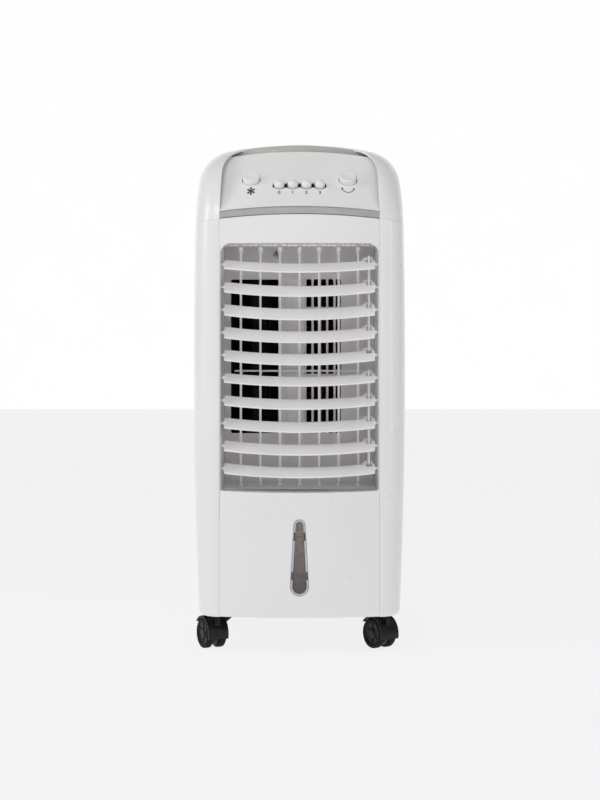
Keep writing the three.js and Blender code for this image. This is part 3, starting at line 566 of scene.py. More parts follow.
def woven_filter():
    """Fine black net: two crossed sets of threads."""
    finish = Finish("woven_filter", Specular_IOR_Level=0.25)
    threads = []
    for direction in ("X", "Z"):
        wave = finish.add("ShaderNodeTexWave", Scale=260.0, Distortion=0.2)
        wave.bands_direction = direction
        finish.join(finish.place, wave.inputs["Vector"])
        threads.append(wave.outputs["Fac"])
    top = finish.add("ShaderNodeMath")
    top.operation = "MAXIMUM"
    finish.join(threads[0], top.inputs[0])
    finish.join(threads[1], top.inputs[1])
    weave = finish.ramp(top.outputs["Value"], tone(18, 18, 19), tone(74, 76, 79), 0.4, 0.95)
    finish.join(weave, finish.shader.inputs["Base Color"])
    finish.roughness(0.75, 0.9, 90)
    return finish.relief((top.outputs["Value"], 0.4, 0.7)).material


def kraft_pad():
    """Waxed paper of the honeycomb pad, with its soaked streaks."""
    return moulded("kraft_pad", (122, 92, 54), (168, 134, 88), 14, (0.75, 0.92, 40), (500, 4, 0.3, 0.5),
                   stretch=(3, 3, 1), Specular_IOR_Level=0.2)


def hose_rubber():
    return moulded("hose_rubber", (208, 208, 200), (222, 222, 214), 40, (0.28, 0.4, 60), (500, 2, 0.05, 0.2),
                   Specular_IOR_Level=0.5, Transmission_Weight=0.2)


def keep_node(name, material):
    """A CAD node that stays in view gets its finish."""
    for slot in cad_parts[name].material_slots:
        slot.material = material


# ------------------------------------------------------------------ outlines
def opening_outline(grow=0.0, corner=13.0, low_corner=2.0, *, flare, lift=0.0):
    half, bottom, top = 97.4 + grow + flare, 203.6 - grow, 514.4 + grow + lift
    sag = [(x, bottom - 1.8 * (1 - (x / half) ** 2)) for x in (mix(-half, half, t) for t in even(24)[2:-2])]
    return [*arc(-half + low_corner, bottom + low_corner, low_corner, 180, 270, 4), *sag,
            *arc(half - low_corner, bottom + low_corner, low_corner, 270, 360, 4),
            *arc(half - corner, top - corner, corner, 0, 90, 12),
            *arc(-half + corner, top - corner, corner, 90, 180, 12)]


def keyhole(grow=0.0, count=20):
    low, high = WINDOW_LOW_R + grow, WINDOW_HIGH_R + grow
    low_z, high_z = WINDOW_BOTTOM + WINDOW_LOW_R, WINDOW_TOP - WINDOW_HIGH_R
    lean = math.degrees(math.asin((low - high) / (high_z - low_z)))
    return [*arc(0, low_z, low, 180 - lean, 360 + lean, count), *arc(0, high_z, high, lean, 180 - lean, count)]


def circle(cx, cy, radius, count=40):
    return arc(cx, cy, radius, 0, 360, count)[:-1]


def rounded_box(x0, x1, z0, z1, radius, count=5):
    return [*arc(x0 + radius, z0 + radius, radius, 180, 270, count),
            *arc(x1 - radius, z0 + radius, radius, 270, 360, count),
            *arc(x1 - radius, z1 - radius, radius, 0, 90, count),
            *arc(x0 + radius, z1 - radius, radius, 90, 180, count)]


# ------------------------------------------------------------------ casing
SMILE_Z = 154.0
SMILE_RISE = 5.0
SMILE_STEP = 0.9


def panel_dip(x, z):
    """The lower panel leans out below a faint smile-shaped crease."""
    crease = SMILE_Z + SMILE_RISE * (x / PANEL_HALF) ** 2
    low_edge = 204.6
    if z <= crease:
        return 0.0
    if z <= low_edge:
        return SMILE_STEP * ((z - crease) / (low_edge - crease)) ** 0.8
    return SMILE_STEP * clamp(1 - (z - low_edge) / (SEAM_Z - 30 - low_edge), 0, 1)


def front_panel(material):
    half = PANEL_HALF - SEAM
    top = [(x, 545.5 + EDGE_RISE * (1 - (x / PANEL_HALF) ** 2)) for x in (mix(half, -half, t) for t in even(40))]
    bottom = [(mix(-half, half, t), BODY_BOTTOM + 0.4) for t in even(20)]

    def place(x, z, w):
        return (x, front_y(x) + panel_dip(x, z) + bottom_inset(z) - w, z)
    sheet = filled_sheet("front_panel_skin", [*bottom, *top], [opening_outline(flare=2.3)[::-1], keyhole()[::-1]],
                         WALL, 0.5, place, steps(-half, half, 5),
                         [45.6, 47, 49, 51, 53, 57, *steps(66, 204, 6), *steps(204, 514, 20), 530, 540])
    piece(sheet, material, "shell", "body", "front_panel")


def opening_liner(material):
    """The short tunnel that leads from the opening to the duct."""
    front, inner = opening_outline(flare=2.1), opening_outline(flare=0.3, lift=3.4)
    outer = opening_outline(1.2, 14.9, 3.9, flare=1.6, lift=3.4)
    shape = Shape()
    loops = []
    for points, back in ((front, False), (inner, True), (outer, True), (outer, False)):
        loops.append([(x, -109.2 if back else front_y(x) + 1.4 + panel_dip(x, z), z) for x, z in points])
    loops.append(loops[0])
    shape.grid(loops, closed_rows=True)
    bmesh.ops.remove_doubles(shape.bm, verts=shape.bm.verts[:], dist=1e-4)
    piece(shape.object("opening_liner"), material, "shell", "body")


def seam_z(x):
    """The joint between pillars and cover drops a little towards the sides."""
    out = clamp((abs(x) - PANEL_HALF) / 26, 0, 1)
    return SEAM_Z + 2.4 - 2.4 * out * out * (3 - 2 * out)


def wall_row(plan, z, share):
    return [barrelled(x, y, z + share * (seam_z(x) - SEAM_Z)) for x, y in plan]


def pillar(side, material):
    inner = PANEL_HALF + SEAM
    lip_y = front_y(PANEL_HALF)
    plan = [(inner, y) for y in (-111, -120, -130, lip_y + 0.9)]
    plan += FRONT_CORNER + [(HALF_WIDTH, mix(-92, SIDE_SEAM_Y, t)) for t in even(22)[1:]]
    rows = []
    for z in WALL_HEIGHTS:
        share = clamp((z - 500) / (SEAM_Z - 500), 0, 1)
        rows.append([(side * x, y, h) for x, y, h in wall_row(plan, z, share)])
    shape = Shape()
    shape.grid(rows)
    name = "left_pillar" if side < 0 else "right_pillar"
    obj = shape.object(name + "_skin", 60)
    faces_out(obj, Vector((0, 0, 300)))
    shelled(obj, soft=0.45)
    piece(obj, material, "shell", "body", name)


def faces_out(obj, centre):
    """Turns a skin so that it faces away from a point in millimetres."""
    mesh = obj.data
    middle = centre * MM
    total = sum(p.area * p.normal.dot((p.center - middle).normalized()) for p in mesh.polygons)
    if total < 0:
        mesh.flip_normals()


def rear_housing(material):
    half = [(HALF_WIDTH, y) for y in (SIDE_SEAM_Y + 0.8, 75, 90, 102)] + REAR_CORNER
    wall_x = [108, 104, 102, 92, 84, 60, 30, 0]
    right = half + [(x, BACK_Y) for x in wall_x]
    plan = right + [(-x, y) for x, y in right[:-1][::-1]]
    heights = sorted({*WALL_HEIGHTS, 172.0, 200.0, 209.0, INTAKE_LOW, INTAKE_HIGH})
    ports = [(INTAKE_HALF, INTAKE_LOW, INTAKE_HIGH), (102, 62, 172)]
    rows = [wall_row(plan, z, 0) for z in heights]
    shape = Shape()
    verts = [[shape.bm.verts.new(p) for p in row] for row in rows]
    for r in range(len(rows) - 1):
        for c in range(len(plan) - 1):
            (xa, ya), (xb, yb) = plan[c], plan[c + 1]
            flat = min(ya, yb) > BACK_Y - 0.01
            wide = max(abs(xa), abs(xb))
            if flat and any(wide <= x + 0.01 and heights[r] >= low - 0.01 and heights[r + 1] <= high + 0.01
                            for x, low, high in ports):
                continue
            shape.bm.faces.new((verts[r][c], verts[r][c + 1], verts[r + 1][c + 1], verts[r + 1][c]))
    obj = shape.object("rear_housing_skin", 60)
    faces_out(obj, Vector((0, 60, 300)))
    shelled(obj)
    piece(obj, material, "shell", "body", "rear_housing")


# ------------------------------------------------------------------ top cover
COVER_BASE = SEAM_Z + 2 * SEAM
SHOULDER = [(132.9, COVER_BASE), (132.65, 552), (132.3, 562), (131.6, 573), (130.7, 583)]
SHOULDER += bezier((129.7, 593), (128.3, 614), (117, 634.4), (92, 639.8), 30)
SHOULDER += bezier((92, 639.8), (78, 643.2), (40, TOP_Z), (0, TOP_Z), 30)[1:]
ROLL = bezier((FRONT_Y, COVER_BASE), (-148.5, 570), (-110, 636), (CREST_FRONT_Y + 24, TOP_Z), 40)
TAIL = bezier((CREST_REAR_Y, TOP_Z), (128, TOP_Z - 1), (BACK_Y, 632), (BACK_Y, 596), 24) + [(BACK_Y, COVER_BASE)]


def table_of(points, key, other, low, high, count):
    """Evenly spaced lookup of one coordinate by another, with straight steps between."""
    ordered = sorted((p[key], p[other]) for p in points)
    values = []
    j = 0
    for i in range(count + 1):
        at = mix(low, high, i / count)
        while j < len(ordered) - 2 and ordered[j + 1][0] < at:
            j += 1
        (a, va), (b, vb) = ordered[j], ordered[j + 1]
        values.append(mix(va, vb, clamp((at - a) / max(b - a, 1e-9), 0, 1)))

    def look(at):
        place = clamp((at - low) / (high - low), 0, 1) * count
        index = min(int(place), count - 1)
        return mix(values[index], values[index + 1], place - index)
    return look


half_at = table_of(SHOULDER, 1, 0, COVER_BASE, TOP_Z, 1200)
front_at = table_of(ROLL, 1, 0, COVER_BASE, TOP_Z, 1200)
rear_at = table_of(TAIL, 1, 0, COVER_BASE, TOP_Z, 1200)
PLAN_HALF = [(mix(0, PANEL_HALF, i / 20), front_y(mix(0, PANEL_HALF, i / 20))) for i in range(21)]
PLAN_HALF += FRONT_CORNER + [(HALF_WIDTH, mix(-92, 112, i / 24)) for i in range(1, 25)] + REAR_CORNER[1:]
PLAN_HALF += [(mix(112, 0, i / 14), BACK_Y) for i in range(1, 15)]
plan_width = table_of([p for p in PLAN_HALF if p[1] < 50], 1, 0, FRONT_Y, 50, 800)
plan_rear_width = table_of([p for p in PLAN_HALF if p[1] >= 0 and p[0] >= 112], 1, 0, 0, BACK_Y, 800)


def at_level(x, y, z):
    """A point of the body's plan moved to where the cover's section at height z has it."""
    front, rear = front_at(z), rear_at(z)
    share = (y - FRONT_Y) / (BACK_Y - FRONT_Y)
    return (x * half_at(z) / HALF_WIDTH, mix(front, rear, share), z)


def inside_level(x, y, z):
    wide = half_at(z)
    if wide < 1e-6:
        return False
    front, rear = front_at(z), rear_at(z)
    share = (y - front) / (rear - front)
    if not 0 <= share <= 1:
        return False
    base_y = mix(FRONT_Y, BACK_Y, share)
    width = plan_width(base_y) if base_y < 50 else plan_rear_width(base_y)
    return abs(x) * HALF_WIDTH / wide <= width


def cover_z(x, y):
    """Height of the cover over a point of the plan."""
    low, high = COVER_BASE, TOP_Z
    for _ in range(22):
        middle = (low + high) / 2
        if inside_level(x, y, middle):
            low = middle
        else:
            high = middle
    return low


BAY_SIDE = [(BAY_HALF + 0.2, COVER_BASE), (BAY_HALF + 0.1, 560), (BAY_HALF - 0.5, 583), (99.2, 606)]
BAY_CORNER = bezier((99.2, 606), (98.8, 630), (86, 638), (71, 642.0), 24)
BAY_ARCH = [(mix(71, 0, t), mix(642.0, 647.2, 1 - (mix(71, 0, t) / 71) ** 2)) for t in even(20)]
BAY_HALF_OUTLINE = BAY_SIDE + BAY_CORNER[1:] + BAY_ARCH[1:]
SPLIT_Z = 620.0
bay_half_at = table_of(BAY_SIDE + BAY_CORNER[1:], 1, 0, COVER_BASE, 642.0, 600)
AROUND = 170


def cover_ring(z, base):
    """Half a section of the cover from the bay's edge round to the middle of the back."""
    edge = bay_half_at(z)
    ring = [at_level(x, y, z) for x, y in PLAN_HALF]
    kept = []
    for a, b in zip(ring, ring[1:]):
        if b[0] > edge or a[0] > edge or kept:
            if not kept:
                t = clamp((edge - a[0]) / max(b[0] - a[0], 1e-9), 0, 1)
                kept.append(tuple(mix(u, v, t) for u, v in zip(a, b)))
            kept.append(b)
    points = resampled(kept, even(AROUND))
    if base:
        points = [(x, y, seam_z(x) + 2 * SEAM) for x, y, _ in points]
    return points


def surface_on_front(x, z):
    """Depth of the cover's front where it stands at x and z."""
    low, high = front_at(z), 60.0
    for _ in range(30):
        middle = (low + high) / 2
        if inside_level(x, middle, z):
            high = middle
        else:
            low = middle
    return high


def cover_half_rows():
    lower = [mix(COVER_BASE, SPLIT_Z, t) for t in even(26)]
    rows = [cover_ring(z, base=(i == 0)) for i, z in enumerate(lower)]
    start = rows[-1]
    upper_edge = [p for p in BAY_CORNER if p[1] > SPLIT_Z] + BAY_ARCH[1:]
    upper_edge = [(bay_half_at(SPLIT_Z), SPLIT_Z)] + upper_edge
    spread = [t ** 1.15 for t in even(AROUND)]
    edge = [(x, surface_on_front(x, z), z) for x, z in resampled(upper_edge, spread)]
    edge[0] = start[0]
    paths = []
    for i in range(AROUND + 1):
        a, b = start[i], edge[i]
        walk = [a]
        for t in even(36)[1:-1]:
            x, y = mix(a[0], b[0], t), mix(a[1], b[1], t)
            walk.append((x, y, cover_z(x, y)))
        walk.append(b)
        paths.append(resampled(walk, even(34)))
    for k in range(1, 35):
        rows.append([path[k] for path in paths])
    return rows


def top_cover(material):
    rows = cover_half_rows()
    shape = Shape()
    for side in (1, -1):
        shape.grid([[(side * x, y, z) for x, y, z in row] for row in rows])
    bmesh.ops.remove_doubles(shape.bm, verts=shape.bm.verts[:], dist=0.02)
    bmesh.ops.dissolve_degenerate(shape.bm, edges=shape.bm.edges[:], dist=0.01)
    obj = shape.object("top_cover_skin", 60)
    faces_out(obj, Vector((0, 0, 560)))
    shelled(obj, soft=0.5)
    piece(obj, material, "shell", "body", "top_cover")


def bay_back(material):
    """The wall behind the rim of the bay, and the ledge that joins it to the top of the fascia. Both wear the grey
    strip paint as painted shade: they stand in the hood's shadow.
    """
    outline = [(x, z - 1.2) for x, z in BAY_CORNER[12:] + BAY_ARCH[1:]]
    top = outline + [(-x, z) for x, z in outline[::-1][1:]]
    bottom = [(mix(-top[0][0], top[0][0], t), 630.0) for t in even(30)]
    shape = Shape()
    shape.prism([*top, *bottom], lambda x, z, w: (x, BAY_BACK_Y + w, z), -1.2, 1.2, 0.3)
    crown = fascia_crown()
    crown = [(-x, v) for x, v in crown[:-1]] + crown[::-1]
    front = [on_fascia(x, v - 0.6, -1.0) for x, v in crown]
    back = [(x, BAY_BACK_Y + 0.6, z + 0.4) for x, _, z in front]
    under = [(x, y, z - 1.5) for x, y, z in front], [(x, y, z - 1.5) for x, y, z in back]
    shape.grid(list(zip(front, back, under[1], under[0])), closed_rows=True, cap=True)
    # The grey strip paint here is painted shade.
    piece(shape.object("bay_back_painted_shade_band"), material, "strip", "body")


# ------------------------------------------------------------------ control fascia
RISE = math.atan2(FASCIA_HIGH.z - FASCIA_LOW.z, FASCIA_HIGH.y - FASCIA_LOW.y)
RUN = (FASCIA_HIGH - FASCIA_LOW).length
FASCIA_HALF = 101.0
CROWN_Z = 638.6
CROWN_END_Z = 630.8
CROWN_HALF = 88.0
BUTTON_ALONG = 0.485
KEY_ALONG = 0.37
BUTTON_X = 61.6
KEY_PITCH = 17.2
UPRIGHT = 1.45
KEY_XS = [(i - 1.5) * KEY_PITCH for i in range(4)]


def fascia_point(x, along):
    away = (x / PANEL_HALF) ** 2 * (1 - clamp(along, 0, 1))
    point = FASCIA_LOW.lerp(FASCIA_HIGH, along)
    return Vector((x, point.y + FRONT_BOW * away, point.z - FASCIA_DROOP * away))


def on_fascia(x, v, w):
    point = fascia_point(x, v / RUN)
    return (point.x, point.y - w * math.sin(RISE), point.z + w * math.cos(RISE))


def fascia_frame(x, along):
    return Matrix.Translation(fascia_point(x, along)) @ Matrix.Rotation(RISE, 4, "X")


def key_slot(grow=0.0):
    """Four lobes joined by short necks."""
    radius, neck = 8.6 + grow, 4.9 + grow
    lean = math.degrees(math.asin(neck / radius))
    v = KEY_ALONG * RUN
    top, bottom = [], []
    for i, x in enumerate(KEY_XS):
        left = 180 if i == 0 else 180 - lean
        right = 0 if i == 3 else lean
        bottom += arc(x, v, radius, left if i == 0 else 180 + lean, 360 if i == 3 else 360 - lean, 12)
        top = arc(x, v, radius, right, left, 12) + top
    return bottom + top[1:-1]


def along_at(x, z):
    """How far up the fascia a point seen at x and z lies."""
    away = FASCIA_DROOP * (x / PANEL_HALF) ** 2
    return (z - FASCIA_LOW.z + away) / (FASCIA_HIGH.z - FASCIA_LOW.z + away)


def fascia_crown():
    """The arched top edge, from its right end to the middle."""
    xs = [mix(CROWN_HALF, 0, t) for t in even(14)]
    return [(x, RUN * along_at(x, mix(CROWN_Z, CROWN_END_Z, (x / CROWN_HALF) ** 2))) for x in xs]


def fascia_outline():
    """Follows the edge of the bay up both sides, then arches over the top."""
    side = [(FASCIA_HALF, 0)]
    for x, z in BAY_HALF_OUTLINE:
        v = RUN * along_at(x, z)
        if v > 2 and x > CROWN_HALF:
            side.append((x + 0.5, v))
    side += fascia_crown()
    bottom = [(mix(-FASCIA_HALF, FASCIA_HALF, t), 0) for t in even(30)[1:-1]]
    return bottom + side + [(-x, v) for x, v in side[::-1][1:]]


def control_fascia(material):
    holes = [circle(side * BUTTON_X, BUTTON_ALONG * RUN, 11.9)[::-1] for side in (-1, 1)]
    sheet = filled_sheet("control_fascia_skin", fascia_outline(), [*holes, key_slot()[::-1]], 2.4, 0.45,
                         on_fascia, steps(-FASCIA_HALF, FASCIA_HALF, 5), steps(0, RUN, 7))
    piece(sheet, material, "fascia", "body", "control_fascia")


def fascia_recess(material):
    """Blocks under the fascia that the skirts of the buttons and keys stand in, near black as painted shade in the
    gaps round the caps.
    """
    shape = Shape()
    floor, top = -12, -2.6
    rounds = [circle(side * BUTTON_X, BUTTON_ALONG * RUN, 13.2) for side in (-1, 1)]
    for outline in (*rounds, key_slot(1.4)):
        cx = sum(p[0] for p in outline) / len(outline)
        cv = sum(p[1] for p in outline) / len(outline)
        lip = [(mix(cx, x, 0.93), mix(cv, v, 0.93)) for x, v in outline]
        shape.grid([[on_fascia(x, v, w) for x, v in line] for line, w in
                    ((lip, top), (outline, top), (outline, floor - 1), (lip, floor))], closed_rows=True, cap=True)
    piece(shape.object("fascia_recess"), material, "fan", "body", "switch_bank")


def trim_strip(material):
    half = 100.9

    def edge(end):
        return [(x, end + EDGE_RISE * (1 - (x / half) ** 2)) for x in (mix(-half, half, t) for t in even(40))]
    outline = edge(STRIP_LOW_Z) + edge(STRIP_HIGH_Z)[::-1]
    sheet = filled_sheet("trim_strip_band", outline, [], 2.4, 0.35,
                         lambda x, z, w: (x, front_y(x) + 0.7 - w, z), steps(-half, half, 5), [])
    piece(sheet, material, "strip", "body", "trim_strip")


def cap_profile(radius, proud, skirt, edge, dish):
    rim = [(radius - edge + edge * math.cos(a), proud - edge + edge * math.sin(a))
           for a in (math.radians(10 * i) for i in range(10))]
    top = [(r, proud - dish * (1 - (r / (radius - edge)) ** 2)) for r in
           (mix(radius - edge - 0.8, 0, t) for t in even(8))]
    return [(0, -skirt), (radius - 0.6, -skirt), (radius, -skirt + 0.6), *rim, *top]


def round_cap(name, x, along, profile, material):
    shape = Shape()
    shape.lathe(profile, 48, fascia_frame(x, along))
    piece(shape.object(name + "_cap"), material, "louver", name, name)


def dome_profile(radius, proud, skirt):
    flank = 1.8
    dome = [(radius * math.cos(a), flank + (proud - flank) * math.sin(a))
            for a in (math.radians(9 * i) for i in range(11))]
    dome[-1] = (0, proud)
    return [(0, -skirt), (radius - 0.5, -skirt), (radius, -skirt + 0.5), *dome]


def buttons(material):
    for name, side in (("button_cool", -1), ("button_swing", 1)):
        round_cap(name, side * BUTTON_X, BUTTON_ALONG, cap_profile(11, 6.5, 6, 1.7, 0.9), material)
    for i, x in enumerate(KEY_XS):
        round_cap(f"key_{i}", x, KEY_ALONG, dome_profile(6.6, 7.0, 6), material)


def print_on_fascia(name, outlines, x, v, material):
    """Thin ink shapes laid on the fascia, drawn about (x, v)."""
    shape = Shape()
    for outline in outlines:
        shape.prism(outline, lambda a, b, w: on_fascia(x + a, v + b, w), 0.02, 0.14)
    piece(shape.object(name), material, "fan", "body")


def snowflake():
    """Six blunt petals round a centre."""
    petals = []
    for i in range(6):
        turn = math.radians(60 * i + 30)
        c, s = math.cos(turn), math.sin(turn)
        petal = [(0.0, -0.6), (2.6, -0.9), (3.9, -1.5), (5.6, -0.3), (5.6, 0.3), (3.9, 1.5), (2.6, 0.9), (0.0, 0.6)]
        petals.append([(a * c - b * s, (a * s + b * c) * UPRIGHT) for a, b in petal])
    petals.append([(a, b * UPRIGHT) for a, b in circle(0, 0, 2.0, 16)])
    return petals


def swing_symbol():
    """An upward curve with a blob at each end."""
    outer = arc(0, 8.4, 9.3, 216, 324, 24)
    inner = arc(0, 8.4, 8.4, 324, 216, 24)
    ends = [circle(side * 7.5, 4.6, 1.25, 16) for side in (-1, 1)]
    return [[(a, b * UPRIGHT) for a, b in outline] for outline in (outer + inner, *ends)]


def digit(text, x, v, material):
    curve = bpy.data.curves.new("digit_" + text, "FONT")
    curve.body = text
    curve.size = 6.6
    curve.align_x = "CENTER"
    curve.align_y = "CENTER"
    curve.offset = 0.12
    curve.extrude = 0.06
    flat = linked("digit_" + text, curve)
    bpy.context.view_layer.update()
    mesh = bpy.data.meshes.new_from_object(flat.evaluated_get(bpy.context.evaluated_depsgraph_get()))
    bpy.data.objects.remove(flat)
    bpy.data.curves.remove(curve)
    for vert in mesh.vertices:
        vert.co = Vector(on_fascia(x + vert.co.x * 1.05, v + vert.co.y * 1.25, vert.co.z + 0.08)) * MM
    piece(linked("digit_" + text, mesh), material, "fan", "body")


def prints(material):
    for i, x in enumerate(KEY_XS):
        digit(str(i), x, KEY_ALONG * RUN - 15.6, material)
    symbol_v = BUTTON_ALONG * RUN - 23.2
    print_on_fascia("symbol_cool", snowflake(), -BUTTON_X, symbol_v, material)
    print_on_fascia("symbol_swing", swing_symbol(), BUTTON_X, symbol_v - 2, material)


# ------------------------------------------------------------------ louvers and vanes
def louver_heights():
    middle = (LOUVER_COUNT - 1) / 2
    return [LOUVER_MIDDLE_Z + (middle - i) * LOUVER_PITCH for i in range(LOUVER_COUNT)]


def louver_tilt(index):
    return math.radians(UPPER_TILT if index < GROUP_SIZE else LOWER_TILT)


def louver_set(index):
    """How far each moulded blade is set from the angle of its lug, so that a group fans slightly."""
    middle = index % GROUP_SIZE - 2.6
    return math.radians(2.6 - 1.5 * middle ** 2 if index < GROUP_SIZE else 1.0 - 0.5 * middle ** 2)


def blade_section():
    """Half-round front bead, slightly hollow back: (chord position, height) round the edge."""
    half = LOUVER_CHORD / 2
    front = arc(-half + 1.05, 0, 1.05, 90, 270, 8)
    rear = arc(half - 0.75, 0, 0.75, -90, 90, 6)
    under = [(-half + 3.2, -1.0), (-4, -1.06), (2, -1.02), (half - 3, -0.9)]
    over = [(half - 3, 0.9), (2, 1.04), (-4, 1.06), (-half + 3.2, 1.0)]
    return front + under + rear + over


def louver_mesh(lean):
    """A bowed blade leaned from its lug, with a notch in its rear edge where the link bar passes."""
    shape = Shape()
    section = blade_section()
    c, s = math.cos(lean), math.sin(lean)
    stations = [mix(-LOUVER_HALF, LOUVER_HALF, t) for t in even(48)]
    stations[0:1] = [-LOUVER_HALF, -LOUVER_HALF + 0.5]
    stations[-1:] = [LOUVER_HALF - 0.5, LOUVER_HALF]
    notch = (LINK_X - NOTCH_HALF, LINK_X + NOTCH_HALF)
    stations = [x for x in stations if min(abs(x - edge) for edge in notch) > 0.6]
    stations = sorted(stations + [edge + step for edge in notch for step in (-0.1, 0.1)])
    rows = []
    for x in stations:
        bow = LOUVER_BOW * (1 - (x / LOUVER_HALF) ** 2)
        size = 0.93 if abs(x) == LOUVER_HALF else 1.0
        cut = abs(x - LINK_X) < NOTCH_HALF
        loop = [(mix(NOTCH_FLOOR, y, NOTCH_KEEP) if cut and y > NOTCH_FLOOR else y, z) for y, z in section]
        loop = [(y * size - bow, z * size) for y, z in loop]
        rows.append([(x, y * c - z * s, y * s + z * c) for y, z in loop])
    shape.grid(rows, closed_rows=True, cap=True)
    for side in (-1, 1):
        shape.rod((side * (LOUVER_HALF - 3), 0, 0), (side * 98.7, 0, 0), 1.6, 0.3)
        shape.rod((side * (LOUVER_HALF - 0.6), 0, 0), (side * (LOUVER_HALF + 0.9), 0, 0), 3.1, 0.4)
    near, far = LINK_X - 2.6, LINK_X + 2.6
    wedge = [(near - 6.5, 9.3), (near, 9.3), (near, LINK_ARM + 2.2), (near - 1.6, LINK_ARM + 2.0)]
    shape.prism(wedge, upright, -1.0, 1.0, 0.35)
    shape.rod((near - 1.5, LINK_ARM, 0), (far + 1.2, LINK_ARM, 0), 1.05, 0.2)
    shape.rod((far, LINK_ARM, 0), (far + 1.8, LINK_ARM, 0), 2.0, 0.5)
    shape.block(far, far + 1.6, 8.6, LINK_ARM, -0.9, 0.9, 0.3)
    return shape.mesh("louver_blade", 50)


def louvers(material):
    for index, z in enumerate(louver_heights()):
        name = f"louver_{index + 1}"
        blade = linked(name + "_blade", louver_mesh(louver_set(index)))
        blade.location = Vector((0, LOUVER_AXIS_Y, z)) * MM
        blade.rotation_euler = (louver_tilt(index), 0, 0)
        bpy.context.view_layer.update()
        piece(blade, material, "louver", name, name)


def louver_link(name, first, material):
    tilt = louver_tilt(first)
    y = LOUVER_AXIS_Y + LINK_ARM * math.cos(tilt)
    pins = [z + LINK_ARM * math.sin(tilt) for z in louver_heights()[first:first + GROUP_SIZE]]
    top, bottom = pins[0] + 3.3, pins[-1] - 3.3
    outline = [*arc(y, bottom + 2.1, 2.1, 180, 360, 10), *arc(y, top - 2.1, 2.1, 0, 180, 10)]
    sheet = filled_sheet(name + "_bar", outline, [circle(y, z, 1.4, 16)[::-1] for z in pins], 3.2, 0.5,
                         lambda v, z, w: (LINK_X - 1.6 - w, v, z))
    piece(sheet, material, "louver", name, name)


def vane_mesh():
    shape = Shape()
    half, thick = 13.4, 1.15
    bead = 1.45
    section = [*arc(0, -half + bead, bead, 165, 375, 12), (1.0, -half + 3.4), (thick, 0),
               (thick * 0.9, half / 2), *arc(0, half - 0.5, 0.5, 0, 180, 6), (-thick * 0.9, half / 2),
               (-thick, 0), (-1.0, -half + 3.4)]
    levels = [(211.8, 0.5), (212.2, 0.8), (213, 1), (260, 1), (361, 1), (460, 1), (506.4, 1), (507, 0.96)]
    shape.grid([[(x * s, y * s, z) for x, y in section] for z, s in levels], closed_rows=True, cap=True)
    shape.rod((0, 0, 204.2), (0, 0, 217), 1.45, 0.3)
    shape.rod((0, 0, 505), (0, 0, 516.4), 1.45, 0.3)
    pear = [(0, -9), (1.4, -9), (1.6, -5.4), (2.5, -2.6), (3.1, -0.6), (2.9, 0.8), (2.0, 1.4), (0, 1.5)]
    shape.lathe(pear, 24, Matrix.Translation((0, -half + 3.2, 510.8)))
    shape.block(-1.0, 1.0, -half + 3, half - 2, 506, 510.4, 0.4)
    collar = [(0, 0), (2.5, 0), (3.1, 0.6), (3.1, 3.2), (1.6, 9), (0, 9)]
    shape.lathe(collar, 24, Matrix.Translation((0, 0, 511.6)) @ Matrix.Rotation(math.pi, 4, "X"))
    ear = [(-1.6, 10), (1.6, 10), (1.8, VANE_EAR), *arc(0, VANE_EAR, 1.9, 0, 180, 8)]
    shape.prism(ear, upright, 350.0, 352.0, 0.3)
    shape.rod((0, VANE_EAR, 351.4), (0, VANE_EAR, 355.6), 0.95, 0.2)
    return shape.mesh("vane_blade", 50)


def vanes(material):
    mesh = vane_mesh()
    for index, x in enumerate(VANE_XS):
        name = f"vane_{index + 1}"
        blade = linked(name + "_blade", mesh)
        blade.location = Vector((x, VANE_AXIS_Y, 0)) * MM
        bpy.context.view_layer.update()
        piece(blade, material, "louver", name, name)


def vane_link(material):
    y = VANE_AXIS_Y + VANE_EAR
    outline = [*arc(-82, y, 1.9, 90, 270, 8), *arc(82, y, 1.9, -90, 90, 8)]
    sheet = filled_sheet("vane_link_rod", outline, [circle(x, y, 1.35, 16)[::-1] for x in VANE_XS], 2.3, 0.35,
                         lambda u, v, w: (u, v, 354.7 + w))
    piece(sheet, material, "louver", "vane_link", "vane_link")


# ------------------------------------------------------------------ duct
DUCT_HALF = 99.2
DUCT_BACK_Y = -62.0
TONGUE = (-27.0, 8.4)
SLOT_ROWS = ((272.5, 345.0), (349.5, 433.5), (436.5, 472.5))


def tongue_bulge(x, z):
    """The wall between outlet and grille swells forward like part of a drum."""
    low, high = TONGUE
    share = clamp((x - low) / (high - low), 0, 1)
    ends = clamp((z - 262) / 10, 0, 1) * clamp((484 - z) / 10, 0, 1)
    return (6.6 * math.sqrt(max(0.0, 1 - (2 * share - 1) ** 2)) + 0.5 * math.cos(6 * math.pi * share)) * ends


def duct_back(material):
    holes = [rounded_box(-89, -27.6, 272.5, 472, 2.0)[::-1]]
    for column in range(5):
        left = 9.0 + 9.5 * column
        holes += [rounded_box(left, left + 6.5, low, high, 0.8, 3)[::-1] for low, high in SLOT_ROWS]

    def place(x, z, w):
        return (x, DUCT_BACK_Y - tongue_bulge(x, z) - w, z)
    sheet = filled_sheet("duct_back_wall", rounded_box(-DUCT_HALF, DUCT_HALF, 213.5, 518.6, 1.0), holes, 1.9, 0.4,
                         place, steps(*TONGUE, 2.2), [262, 267, 272, 474, 479, 484])
    piece(sheet, material, "duct", "body", "air_duct")


def duct_shell(material):
    shape = Shape()
    for side in (-1, 1):
        x0, x1 = sorted((side * 97.6, side * DUCT_HALF))
        shape.block(x0, x1, -108.3, -60.4, 203, 520.6, 0.4)
    shape.block(-DUCT_HALF + 1.2, DUCT_HALF - 1.2, -108.3, -60.4, 518.8, 520.6, 0.3)
    fillet = [(-97.8, 519), (-97.8, 508.8), *arc(-87.8, 508.8, 10, 180, 90, 8)[1:]]
    for side in (-1, 1):
        shape.prism([(side * x, z) for x, z in fillet], lambda x, z, w: (x, w, z), -108.0, -61.5, 0.0)
    piece(shape.object("duct_walls"), material, "duct", "body")


